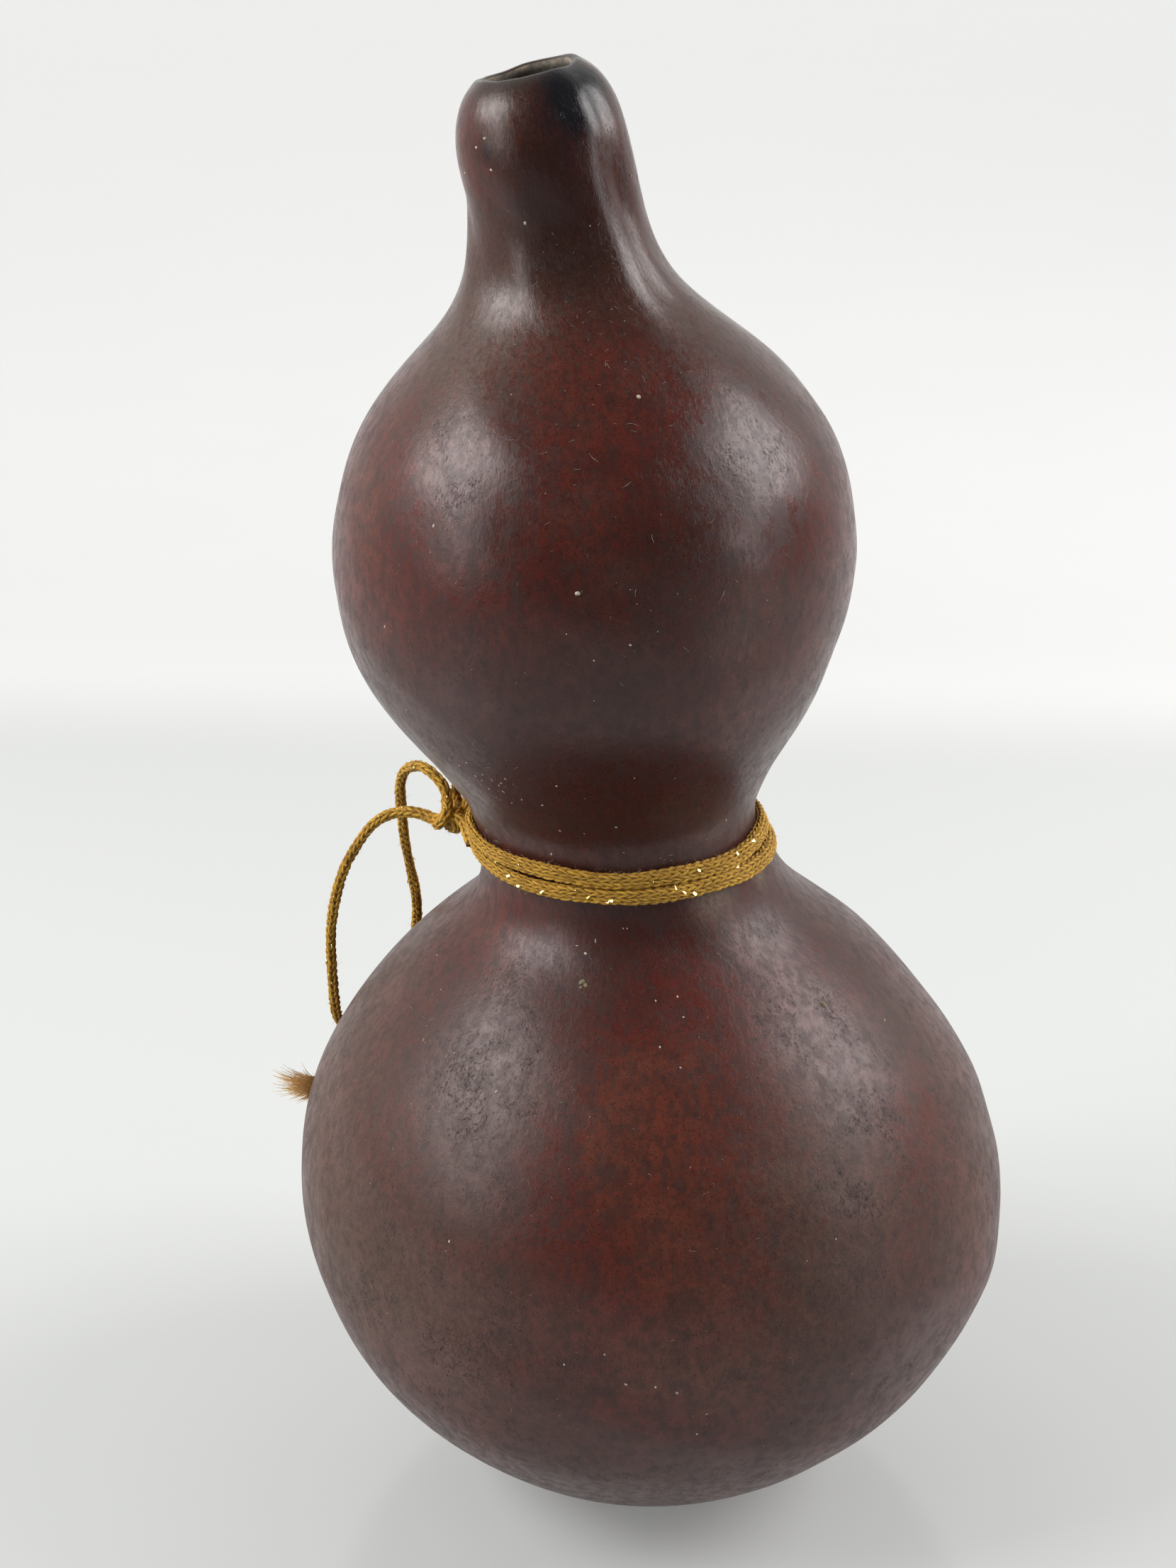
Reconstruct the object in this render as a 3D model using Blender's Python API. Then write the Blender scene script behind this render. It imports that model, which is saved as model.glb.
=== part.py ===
"""A dried bottle gourd with its mouth cut open and a braided cord tied round its waist.

Metres, +Z up. The origin is the middle of the flat the gourd stands on. +Y is the back.
Driving dimensions are in millimetres (MM turns them into metres).
"""

import math

import bmesh
import bpy
import numpy as np

MM = 0.001

# Outside of the gourd, from the foot to the cut mouth: height and radius
PROFILE = (
    (0.0, 20.0),
    (2.5, 24.8),
    (8.0, 34.2),
    (17.0, 44.8),
    (29.0, 54.9),
    (44.0, 61.0),
    (60.0, 62.2),
    (77.0, 57.9),
    (92.0, 48.2),
    (105.0, 35.3),
    (115.0, 26.1),
    (121.0, 24.6),
    (126.0, 24.0),
    (130.0, 24.7),
    (133.0, 26.2),
    (144.0, 33.2),
    (160.0, 41.2),
    (177.0, 42.6),
    (194.0, 37.1),
    (207.0, 26.1),
    (218.0, 16.5),
    (228.0, 13.7),
    (237.0, 13.2),
    (243.5, 11.9),
    (247.0, 9.8),
    (248.5, 8.1),
)
# The gourd grew a little crooked: height and sideways place of its middle line
MIDDLE_LINE = (
    (0.0, 0.0),
    (60.0, 0.2),
    (92.0, -1.4),
    (105.0, -1.7),
    (115.0, -3.1),
    (126.0, -6.5),
    (130.0, -7.2),
    (136.0, -8.4),
    (160.0, -10.1),
    (200.0, -10.0),
    (209.0, -10.9),
    (218.0, -13.7),
    (237.0, -18.1),
    (248.5, -20.4),
)
# The mouth is cut at a slant, lower on the left
MOUTH_SLANT = math.radians(14.1)
SLANT_FROM = 215.0
SLANT_FULL = 245.0
# Rind
WALL = 3.2
LIP = 1.7
LIP_RUN = 14.0
FLOOR = 4.0
OUTER_RINGS = 60
INNER_RINGS = 24
SIDES = 44

# Braided cord: flattened where it is pulled tight round the waist, round where it is free
CORD = 1.9
FLAT_WIDTH = 2.6
FLAT_THICK = 1.6
TURN_HEIGHTS = (("waist_turn_upper", 124.5), ("waist_turn_lower", 121.6))
TURN_POINTS = 60
CLEAR = 0.3
KNOT = (-32.9, 6.6, 122.8)
KNOT_RADII = (2.3, 2.3, 3.0)
KNOT_HALF_ANGLE = math.radians(6.6)
STUB_STRAIGHT = 1.3
TUBE_STEP = 2.4

# Routes of the free cord, each from the knot outwards, and a loop back to the knot
ROUTES = {
    "bow_loop_large": (
        (-36.3, 8.3, 120.5),
        (-37.8, 9.0, 120.7),
        (-39.9, 10.0, 121.1),
        (-43.2, 11.4, 121.0),
        (-47.7, 13.0, 118.9),
        (-51.5, 14.6, 114.0),
        (-54.2, 15.8, 109.0),
        (-56.3, 17.2, 102.4),
        (-57.5, 18.4, 95.8),
        (-58.0, 19.8, 88.9),
        (-58.0, 21.2, 81.8),
        (-57.9, 23.8, 75.5),
        (-57.0, 30.0, 69.0),
        (-54.0, 35.9, 64.0),
        (-47.4, 43.1, 60.0),
        (-39.1, 50.3, 59.0),
        (-31.6, 54.8, 64.5),
        (-27.7, 53.9, 75.5),
        (-26.5, 47.9, 87.5),
        (-25.3, 37.5, 99.5),
        (-24.3, 27.6, 108.5),
        (-25.2, 21.4, 116.0),
        (-28.6, 18.6, 121.6),
        (-31.8, 16.6, 124.5),
        (-33.7, 14.2, 125.3),
        (-34.1, 11.9, 124.4),
    ),
    "bow_loop_small": (
        (-35.5, 8.2, 123.8),
        (-35.6, 8.9, 125.4),
        (-36.6, 9.9, 127.2),
        (-38.4, 11.3, 128.6),
        (-40.1, 13.0, 128.9),
        (-41.6, 15.0, 128.1),
        (-43.1, 17.2, 126.6),
        (-44.2, 19.4, 123.8),
        (-44.6, 21.6, 120.2),
        (-44.6, 24.2, 115.0),
        (-44.4, 27.4, 108.1),
        (-43.8, 30.1, 102.0),
        (-43.2, 32.5, 96.2),
        (-43.2, 35.4, 90.0),
        (-43.8, 40.0, 83.0),
        (-41.5, 44.3, 77.5),
        (-37.3, 47.5, 75.5),
        (-33.5, 48.3, 79.0),
        (-31.0, 44.4, 88.5),
        (-29.2, 36.0, 98.5),
        (-27.9, 27.3, 108.2),
        (-27.9, 20.4, 115.6),
        (-30.0, 15.7, 119.3),
        (-33.6, 12.3, 121.2),
    ),
    "cord_tail_left": (
        (-31.9, 11.2, 119.2),
        (-27.2, 15.2, 115.3),
        (-26.9, 20.7, 111.0),
        (-28.0, 26.4, 105.1),
        (-31.7, 33.9, 96.6),
        (-38.6, 36.5, 88.5),
        (-47.3, 34.0, 80.5),
        (-53.9, 28.6, 73.6),
        (-58.0, 23.5, 68.0),
        (-60.6, 17.6, 64.5),
    ),
    "cord_tail_back": (
        (-32.3, 10.0, 126.9),
        (-32.0, 13.6, 128.6),
        (-29.2, 17.7, 127.9),
        (-25.0, 21.9, 124.0),
        (-19.3, 24.7, 117.5),
        (-15.9, 32.2, 109.0),
        (-14.3, 43.5, 98.9),
        (-13.2, 52.6, 87.5),
        (-12.8, 58.8, 75.5),
        (-13.6, 61.9, 63.5),
        (-15.3, 61.9, 52.5),
        (-16.1, 60.8, 45.5),
    ),
}
# Frayed ends: the tail each one ends, the middle of its spread tip, and its spread radius
FRAYS = (
    ("frayed_end_left", "cord_tail_left", (-65.6, 12.4, 68.4), 2.3),
    ("frayed_end_back", "cord_tail_back", (-16.9, 62.0, 38.5), 2.3),
)
FRAY_SIDES = 10
FRAY_BEND = 0.35
# Along a frayed end from 0 to 1, with how much of its spread it has there
FRAY_STATIONS = ((0.0, 0.0), (0.25, 0.25), (0.5, 0.6), (0.75, 0.9), (0.93, 1.0), (1.0, 0.6))

# Finishes: colour, roughness, metallic
RIND = ("gourd_rind", (0.085, 0.026, 0.017), 0.34, 0.0)
BRAID = ("gold_braid", (0.42, 0.23, 0.05), 0.62, 0.15)


def material(finish):
    """A Principled material from a finish's name, colour, roughness and metallic value."""
    name, colour, roughness, metallic = finish
    made = bpy.data.materials.get(name)
    if made is None:
        made = bpy.data.materials.new(name)
        made.use_nodes = True
        shader = made.node_tree.nodes["Principled BSDF"]
        shader.inputs["Base Color"].default_value = (*colour, 1.0)
        shader.inputs["Roughness"].default_value = roughness
        shader.inputs["Metallic"].default_value = metallic
    return made


def add_object(name, data, finish):
    """Puts a mesh or a curve in the scene as one named piece."""
    piece = bpy.data.objects.new(name, data)
    piece.data.materials.append(material(finish))
    bpy.context.scene.collection.objects.link(piece)
    return piece


def spline(points, count):
    """Count points, evenly spaced, on the natural cubic curve through the given points."""
    knots = np.array(points, float)
    steps = np.linalg.norm(np.diff(knots, axis=0), axis=1)
    at = np.concatenate([[0.0], np.cumsum(steps)])
    size = len(knots)
    system = np.eye(size)
    right = np.zeros_like(knots)
    slopes = np.diff(knots, axis=0) / steps[:, None]
    for i in range(1, size - 1):
        system[i, i - 1 : i + 2] = steps[i - 1], 2 * (steps[i - 1] + steps[i]), steps[i]
        right[i] = 6 * (slopes[i] - slopes[i - 1])
    bend = np.linalg.solve(system, right)

    def curve(where):
        span = np.clip(np.searchsorted(at, where) - 1, 0, size - 2)
        step = steps[span][:, None]
        along = (where - at[span])[:, None]
        first, second = bend[span], bend[span + 1]
        lean = slopes[span] - step * (2 * first + second) / 6
        return knots[span] + along * lean + along**2 * first / 2 + along**3 * (second - first) / (6 * step)

    fine = curve(np.linspace(0.0, at[-1], 40 * size))
    run = np.concatenate([[0.0], np.cumsum(np.linalg.norm(np.diff(fine, axis=0), axis=1))])
    places = np.interp(np.linspace(0.0, run[-1], count), run, np.linspace(0.0, at[-1], 40 * size))
    return curve(places)


def smooth_step(value):
    """0 below 0, 1 above 1, and a soft rise between."""
    held = np.clip(value, 0.0, 1.0)
    return held * held * (3 - 2 * held)


MIDDLE_SAMPLES = spline(MIDDLE_LINE, 200)
PROFILE_SAMPLES = spline(PROFILE, 400)


def middle(height):
    """Sideways place of the gourd's middle line at a height."""
    return float(np.interp(height, MIDDLE_SAMPLES[:, 0], MIDDLE_SAMPLES[:, 1]))


def skin_radius(height):
    """Outside radius of the gourd at a height."""
    return float(np.interp(height, PROFILE_SAMPLES[:, 0], PROFILE_SAMPLES[:, 1]))


def gourd_ring(height, radius):
    """Points of one level ring, tilted near the mouth, in metres."""
    slant = math.tan(MOUTH_SLANT) * smooth_step((height - SLANT_FROM) / (SLANT_FULL - SLANT_FROM))
    ring = []
    for side in range(SIDES):
        angle = 2 * math.pi * side / SIDES
        out = radius * math.cos(angle)
        place = (middle(height) + out, radius * math.sin(angle), height + slant * out)
        ring.append(tuple(MM * value for value in place))
    return ring


def inner_profile():
    """The cavity's outline from the lip down to the floor: the outside, moved in by the wall."""
    outline = spline(PROFILE, 240)
    run = np.concatenate([[0.0], np.cumsum(np.linalg.norm(np.diff(outline, axis=0), axis=1))])
    wall = LIP + (WALL - LIP) * smooth_step((run[-1] - run) / LIP_RUN)
    tangent = np.gradient(outline, axis=0)
    tangent /= np.linalg.norm(tangent, axis=1)[:, None]
    inside = outline + np.stack([tangent[:, 1], -tangent[:, 0]], axis=1) * wall[:, None]
    inside = inside[inside[:, 0] > FLOOR][::-1]
    keep = np.linspace(0, len(inside) - 1, INNER_RINGS).astype(int)
    return inside[keep]


def loft(name, rings, finish, smooth=True):
    """One closed body through the rings, with both ends filled."""
    shape = bmesh.new()
    loops = [[shape.verts.new(point) for point in ring] for ring in rings]
    for low, high in zip(loops, loops[1:]):
        for i in range(len(low)):
            j = (i + 1) % len(low)
            shape.faces.new((low[i], low[j], high[j], high[i]))
    shape.faces.new(loops[0][::-1])
    shape.faces.new(loops[-1])
    bmesh.ops.triangulate(shape, faces=shape.faces[:])
    bmesh.ops.recalc_face_normals(shape, faces=shape.faces[:])
    mesh = bpy.data.meshes.new(name)
    shape.to_mesh(mesh)
    shape.free()
    if smooth:
        mesh.shade_smooth()
        mesh.set_sharp_from_angle(angle=math.radians(50))
    return add_object(name, mesh, finish)


def make_gourd():
    """The whole rind, outside and cavity, as one body open at the mouth."""
    outside = [gourd_ring(height, radius) for height, radius in spline(PROFILE, OUTER_RINGS)]
    cavity = [gourd_ring(height, radius) for height, radius in inner_profile()]
    return loft("gourd", outside + cavity, RIND)


def flat_section(across, thick):
    """A flat cord's cross-section with its corners taken off, as (out, up) pairs."""
    half_out, half_up = thick / 2, across / 2
    corner_out, corner_up = 0.45 * half_out, 0.66 * half_up
    quarter = ((half_out, corner_up), (corner_out, half_up))
    upper = quarter + tuple((-out, up) for out, up in reversed(quarter))
    return upper + tuple((-out, -up) for out, up in upper)


def make_turn(name, height):
    """One turn of the cord, pulled flat against the waist, with a gap for the knot."""
    knot_angle = math.atan2(KNOT[1], KNOT[0] - middle(height))
    sweep = 2 * math.pi - 2 * KNOT_HALF_ANGLE
    rings = []
    for step in range(TURN_POINTS):
        angle = knot_angle + KNOT_HALF_ANGLE + sweep * step / (TURN_POINTS - 1)
        ring = []
        for out, up in flat_section(FLAT_WIDTH, FLAT_THICK):
            level = height + up
            radius = skin_radius(level) + CLEAR + FLAT_THICK / 2 + out
            place = (middle(level) + radius * math.cos(angle), radius * math.sin(angle), level)
            ring.append(tuple(MM * value for value in place))
        rings.append(ring)
    return loft(name, rings, BRAID)


def make_tube(name, points, diameter):
    """A round cord along the given points, with its ends filled."""
    curve = bpy.data.curves.new(name, "CURVE")
    curve.dimensions = "3D"
    curve.bevel_depth = MM * diameter / 2
    curve.bevel_resolution = 2
    curve.use_fill_caps = True
    run = curve.splines.new("POLY")
    run.points.add(len(points) - 1)
    for spot, place in zip(run.points, points):
        spot.co = (*(MM * value for value in place), 1.0)
    return add_object(name, curve, BRAID)


def make_free_cords():
    """The two loops and the two tails of the bow."""
    for name, route in ROUTES.items():
        length = np.linalg.norm(np.diff(spline(route, 400), axis=0), axis=1).sum()
        count = int(length / TUBE_STEP) + 1
        make_tube(name, spline(route, count), CORD)


def strand_ends():
    """Where each strand starts or comes back at the knot, with its direction away from there."""
    for name, route in ROUTES.items():
        ends = [(route[0], route[1])]
        if name.startswith("bow_loop"):
            ends.append((route[-1], route[-2]))
        for end, following in ends:
            away = np.array(following) - np.array(end)
            yield np.array(end), away / np.linalg.norm(away)


def make_knot():
    """The bow's knot: a tight lump with a short stub towards each strand that leaves it."""
    lump = bmesh.new()
    bmesh.ops.create_uvsphere(lump, u_segments=14, v_segments=9, radius=1.0)
    for vert in lump.verts:
        vert.co = [MM * (k + r * c) for k, r, c in zip(KNOT, KNOT_RADII, vert.co)]
    bmesh.ops.triangulate(lump, faces=lump.faces[:])
    mesh = bpy.data.meshes.new("bow_knot")
    lump.to_mesh(mesh)
    lump.free()
    mesh.shade_smooth()
    mesh.set_sharp_from_angle(angle=math.radians(50))
    knot = add_object("bow_knot", mesh, BRAID)
    stubs = bpy.data.collections.new("knot_stubs")
    bpy.context.scene.collection.children.link(stubs)
    middle_of_knot = np.array(KNOT)
    for end, away in strand_ends():
        stub = make_tube("stub", (middle_of_knot, end - away * STUB_STRAIGHT, end - away * CLEAR), CORD)
        graph = bpy.context.evaluated_depsgraph_get()
        solid = bpy.data.meshes.new_from_object(stub.evaluated_get(graph))
        bpy.data.objects.remove(stub)
        cutter = bpy.data.objects.new("stub_solid", solid)
        stubs.objects.link(cutter)
    union = knot.modifiers.new("join_stubs", "BOOLEAN")
    union.operation = "UNION"
    union.operand_type = "COLLECTION"
    union.collection = stubs
    bpy.context.view_layer.update()
    graph = bpy.context.evaluated_depsgraph_get()
    joined = bpy.data.meshes.new_from_object(knot.evaluated_get(graph))
    knot.modifiers.clear()
    knot.data = joined
    for cutter in list(stubs.objects):
        bpy.data.objects.remove(cutter)
    bpy.data.collections.remove(stubs)
    return knot


def make_fray(name, tail, tip, spread):
    """A frayed end: a small brush that leaves the cord in line and widens to its ragged tip."""
    start, before = (np.array(ROUTES[tail][i]) for i in (-1, -2))
    onward = (start - before) / np.linalg.norm(start - before)
    start = start + CLEAR * onward
    tip = np.array(tip)
    bend = start + FRAY_BEND * np.linalg.norm(tip - start) * onward
    rings = []
    for along, share in FRAY_STATIONS:
        centre = (1 - along) ** 2 * start + 2 * along * (1 - along) * bend + along**2 * tip
        axis = (1 - along) * (bend - start) + along * (tip - bend)
        axis /= np.linalg.norm(axis)
        side = np.cross(axis, (0.0, 0.0, 1.0))
        side /= np.linalg.norm(side)
        other = np.cross(axis, side)
        ring = []
        for step in range(FRAY_SIDES):
            angle = 2 * math.pi * step / FRAY_SIDES
            radius = CORD / 2 + share * (spread - CORD / 2)
            place = centre + radius * (side * math.cos(angle) + other * math.sin(angle))
            ring.append(tuple(MM * float(value) for value in place))
        rings.append(ring)
    return loft(name, rings, BRAID, smooth=False)


def main():
    for old in list(bpy.data.objects):
        bpy.data.objects.remove(old)
    make_gourd()
    for name, height in TURN_HEIGHTS:
        make_turn(name, height)
    make_free_cords()
    make_knot()
    for fray in FRAYS:
        make_fray(*fray)


main()
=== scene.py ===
"""Dresses the dried bottle gourd: its handled rind, its braided gold cord and the stage it stands on.

Lengths in the tables and functions are in millimetres, as in the part's own drawing, and MM turns
them into metres. +Z is up, and the camera looks along +Y.
"""

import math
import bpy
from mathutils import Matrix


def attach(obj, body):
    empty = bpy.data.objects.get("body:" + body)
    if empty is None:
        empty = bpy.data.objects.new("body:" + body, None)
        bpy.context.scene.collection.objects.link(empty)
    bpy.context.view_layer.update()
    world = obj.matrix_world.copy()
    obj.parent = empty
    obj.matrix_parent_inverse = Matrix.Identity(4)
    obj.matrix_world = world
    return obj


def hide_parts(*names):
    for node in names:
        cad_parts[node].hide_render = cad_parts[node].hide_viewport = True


bl_info = {
    "name": "Dried Bottle Gourd",
    "version": (1, 0, 0),
    "blender": (4, 5, 0),
    "location": "View3D > Sidebar > Gourd",
    "description": "A dried bottle gourd with a braided cord tied round its waist",
    "category": "Add Mesh",
}

import bpy
import numpy as np
from bpy.props import FloatProperty, FloatVectorProperty, IntProperty, PointerProperty
from mathutils import Euler, Vector
from mathutils.bvhtree import BVHTree

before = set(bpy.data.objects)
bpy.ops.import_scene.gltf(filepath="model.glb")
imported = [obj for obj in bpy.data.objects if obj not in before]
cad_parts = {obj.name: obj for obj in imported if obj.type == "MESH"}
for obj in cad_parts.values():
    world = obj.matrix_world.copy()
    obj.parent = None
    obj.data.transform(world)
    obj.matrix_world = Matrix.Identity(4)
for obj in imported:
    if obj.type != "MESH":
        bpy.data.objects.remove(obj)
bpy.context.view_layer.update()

MM = 0.001

# The photograph's frame, and the camera that fits it
PHOTO_WIDTH, PHOTO_HEIGHT = 1659, 2212
FOCAL_PIXELS = 3687
CAMERA_PLACE = (-11.0, -410.4, 299.7)
CAMERA_PITCH = math.radians(22.353)
SENSOR = 36.0

# Outside of the gourd, from the foot to the cut mouth: height and radius
PROFILE = (
    (0.0, 20.0),
    (2.5, 24.8),
    (8.0, 34.2),
    (17.0, 44.8),
    (29.0, 54.9),
    (44.0, 61.0),
    (60.0, 62.2),
    (77.0, 57.9),
    (92.0, 48.2),
    (105.0, 35.3),
    (115.0, 26.1),
    (121.0, 24.6),
    (126.0, 24.0),
    (130.0, 24.7),
    (133.0, 26.2),
    (144.0, 33.2),
    (160.0, 41.2),
    (177.0, 42.6),
    (194.0, 37.1),
    (207.0, 26.1),
    (218.0, 16.5),
    (228.0, 13.7),
    (237.0, 13.2),
    (243.5, 11.9),
    (247.0, 9.8),
    (248.5, 8.1),
)
# Height and sideways place of the gourd's middle line
MIDDLE_LINE = (
    (0.0, 0.0),
    (60.0, 0.2),
    (92.0, -1.4),
    (105.0, -1.7),
    (115.0, -3.1),
    (126.0, -6.5),
    (130.0, -7.2),
    (136.0, -8.4),
    (160.0, -10.1),
    (200.0, -10.0),
    (209.0, -10.9),
    (218.0, -13.7),
    (237.0, -18.1),
    (248.5, -20.4),
)
# Slant of the mouth, and the heights between which it sets in
MOUTH_SLANT = math.radians(14.1)
SLANT_FROM = 215.0
SLANT_FULL = 245.0
# Wall of the gourd, its thickness at the lip and the run over which it thins, and the cavity's floor
WALL = 3.2
LIP = 1.7
LIP_RUN = 14.0
FLOOR = 4.0
# Foot: where its innermost ring is, the hollow round the flower's scar and the nub in its middle
FOOT_INNERMOST = 0.6
SCAR_RADIUS = 14.0
SCAR_DEPTH = 0.6
NUB_RADIUS = 2.0
NUB_HEIGHT = 0.35
# Rings of points along each part of the outline, and points round each ring
FOOT_RINGS = 9
OUTER_RINGS = 270
LIP_RINGS = 5
INNER_RINGS = 56
RIND_SIDES = 256
# Radius at which the skin's pattern keeps its size; it is squeezed where the gourd is thinner
GROWTH_RADIUS = 40.0
# Heights above which handling has polished the rind, each with the rise to its full share
POLISHED = (
    (118.0, 30.0),
    (196.0, 16.0),
)

# How far the cut lip rises above its slant, every 30 degrees from its right end round by the back
LIP_RISE = (0.0, 0.42, 0.3, 0.33, 0.0, 0.2, 0.5, 0.6, 0.25, 0.1, 0.0, -0.35)
# Height from which that rise is felt, and from there to its full amount
LIP_RISE_FROM = 236.0
LIP_RISE_REACH = 11.0
# Folds up the neck: azimuth and spread in degrees, from and to height, rise
NECK_FOLDS = (
    (-54.0, 10.0, 208.0, 250.0, 0.35),
    (-38.0, 8.0, 208.0, 250.0, -0.30),
    (-112.0, 14.0, 210.0, 240.0, 0.20),
)

# Slow swells of the rind: waves round it, waves per millimetre up it, phase, share of the swell
SWELLS = (
    (1, 0.021, 0.4, 0.55),
    (2, 0.013, 2.1, 0.80),
    (3, 0.031, 4.4, 0.50),
    (5, 0.047, 1.2, 0.30),
    (8, 0.060, 3.3, 0.18),
    (13, 0.083, 5.0, 0.10),
)
# Heights at which the swells die away, at the foot, the cord and the lip, each with its reach
FOOT_CALM = (4.0, 20.0)
CORD_CALM = (123.0, 7.0)
LIP_CALM = (247.0, 16.0)

# Thickness of the free cord, and across the tops of its strands
CORD = 1.9
CORD_SHOWN = 2.12
# Section of the cord where it is pulled flat round the waist, and how square its corners are
FLAT_WIDTH = 2.9
FLAT_THICK = 1.75
FLAT_CORNER = 2.7
# Turns round the waist: name, height, phase of their slight wave
WAIST_TURNS = (
    ("upper", 124.45, 0.9),
    ("lower", 121.65, 3.1),
)
# Middle of the knot, from which the turns start
KNOT = (-32.9, 6.6, 122.8)
# Points round the free cord, a waist turn and a grain, and the step from one ring of the cord to the next
CORD_SIDES = 36
WAIST_SIDES = 48
GRAIN_SIDES = 7
STATION_STEP = 0.16
# Routes of the free cord, from the knot to each stretch's end
ROUTES = {
    "bow_loop_large": (
        (-36.3, 8.3, 120.5),
        (-37.8, 9.0, 120.7),
        (-39.9, 10.0, 121.1),
        (-43.2, 11.4, 121.0),
        (-47.7, 13.0, 118.9),
        (-51.5, 14.6, 114.0),
        (-54.2, 15.8, 109.0),
        (-56.3, 17.2, 102.4),
        (-57.5, 18.4, 95.8),
        (-58.0, 19.8, 88.9),
        (-58.0, 21.2, 81.8),
        (-57.9, 23.8, 75.5),
        (-57.0, 30.0, 69.0),
        (-54.0, 35.9, 64.0),
        (-47.4, 43.1, 60.0),
        (-39.1, 50.3, 59.0),
        (-31.6, 54.8, 64.5),
        (-27.7, 53.9, 75.5),
        (-26.5, 47.9, 87.5),
        (-25.3, 37.5, 99.5),
        (-24.3, 27.6, 108.5),
        (-25.2, 21.4, 116.0),
        (-28.6, 18.6, 121.6),
        (-31.8, 16.6, 124.5),
        (-33.7, 14.2, 125.3),
        (-34.1, 11.9, 124.4),
    ),
    "bow_loop_small": (
        (-35.5, 8.2, 123.8),
        (-35.6, 8.9, 125.4),
        (-36.6, 9.9, 127.2),
        (-38.4, 11.3, 128.6),
        (-40.1, 13.0, 128.9),
        (-41.6, 15.0, 128.1),
        (-43.1, 17.2, 126.6),
        (-44.2, 19.4, 123.8),
        (-44.6, 21.6, 120.2),
        (-44.6, 24.2, 115.0),
        (-44.4, 27.4, 108.1),
        (-43.8, 30.1, 102.0),
        (-43.2, 32.5, 96.2),
        (-43.2, 35.4, 90.0),
        (-43.8, 40.0, 83.0),
        (-41.5, 44.3, 77.5),
        (-37.3, 47.5, 75.5),
        (-33.5, 48.3, 79.0),
        (-31.0, 44.4, 88.5),
        (-29.2, 36.0, 98.5),
        (-27.9, 27.3, 108.2),
        (-27.9, 20.4, 115.6),
        (-30.0, 15.7, 119.3),
        (-33.6, 12.3, 121.2),
    ),
    "cord_tail_left": (
        (-31.9, 11.2, 119.2),
        (-27.2, 15.2, 115.3),
        (-26.9, 20.7, 111.0),
        (-28.0, 26.4, 105.1),
        (-31.7, 33.9, 96.6),
        (-38.6, 36.5, 88.5),
        (-47.3, 34.0, 80.5),
        (-53.9, 28.6, 73.6),
        (-58.0, 23.5, 68.0),
        (-60.6, 17.6, 64.5),
    ),
    "cord_tail_back": (
        (-32.3, 10.0, 126.9),
        (-32.0, 13.6, 128.6),
        (-29.2, 17.7, 127.9),
        (-25.0, 21.9, 124.0),
        (-19.3, 24.7, 117.5),
        (-15.9, 32.2, 109.0),
        (-14.3, 43.5, 98.9),
        (-13.2, 52.6, 87.5),
        (-12.8, 58.8, 75.5),
        (-13.6, 61.9, 63.5),
        (-15.3, 61.9, 52.5),
        (-16.1, 60.8, 45.5),
    ),
}
# Braid: strands that climb each way in the free cord and round the waist, how far one passes over another
FREE_STRANDS = 6
WAIST_STRANDS = 10
OVER = 0.55
# Height of the weave that counts as its bottom, the rise from there to its top, and where fuzz can root
WEAVE_BOTTOM = 0.45
WEAVE_RISE = 1.05
FUZZ_FROM = 0.35
# Thickness of the fuzz, of a frayed thread, of the lint and of a metallic thread
FUZZ_THICK = 0.045
THREAD_THICK = 0.16
LINT_THICK = 0.05
GLINT_THICK = 0.04
# Metallic threads to each millimetre of free cord and in each waist turn
GLINTS_EACH_MM = 0.35
WAIST_GLINTS = 20
# Metallic threads that flash on the waist, by photograph pixel
FLASHES = (
    (717, 1236),
    (731, 1250),
    (765, 1258),
    (830, 1266),
    (857, 1273),
    (862, 1271),
    (953, 1253),
    (965, 1259),
    (980, 1261),
    (986, 1228),
    (1040, 1204),
    (1040, 1223),
    (1062, 1186),
)
# Strands of the knot: photograph pixels, each with its distance along Y
KNOT_STRANDS = (
    (
        ((598, 1150), 9.8),
        ((612, 1155), 9.0),
        ((626, 1154), 7.6),
        ((640, 1152), 6.6),
        ((651, 1158), 5.6),
        ((657, 1170), 3.6),
        ((664, 1190), 0.0),
    ),
    (
        ((630, 1128), 8.5),
        ((631, 1138), 7.4),
        ((629, 1149), 6.0),
        ((622, 1159), 6.0),
        ((617, 1163), 8.0),
        ((621, 1160), 10.8),
        ((632, 1150), 12.0),
        ((640, 1140), 12.0),
    ),
    (
        ((642, 1116), 12.0),
        ((645, 1128), 11.4),
        ((647, 1140), 10.0),
        ((652, 1149), 8.4),
        ((660, 1154), 7.4),
        ((668, 1150), 7.6),
    ),
    (
        ((652, 1138), 11.5),
        ((646, 1144), 8.0),
        ((642, 1153), 6.6),
        ((645, 1163), 6.6),
        ((640, 1168), 8.6),
        ((632, 1163), 10.6),
    ),
    (
        ((658, 1108), 10.2),
        ((660, 1122), 9.6),
        ((658, 1138), 8.8),
        ((652, 1150), 9.4),
        ((656, 1162), 10.8),
        ((665, 1160), 11.0),
    ),
)
# Frayed ends: the node, its tail, the middle of the spread tip, its spread radius
FRAYS = (
    ("frayed_end_left", "cord_tail_left", (-65.6, 12.4, 68.4), 2.3),
    ("frayed_end_back", "cord_tail_back", (-16.9, 62.0, 38.5), 2.3),
)

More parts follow.
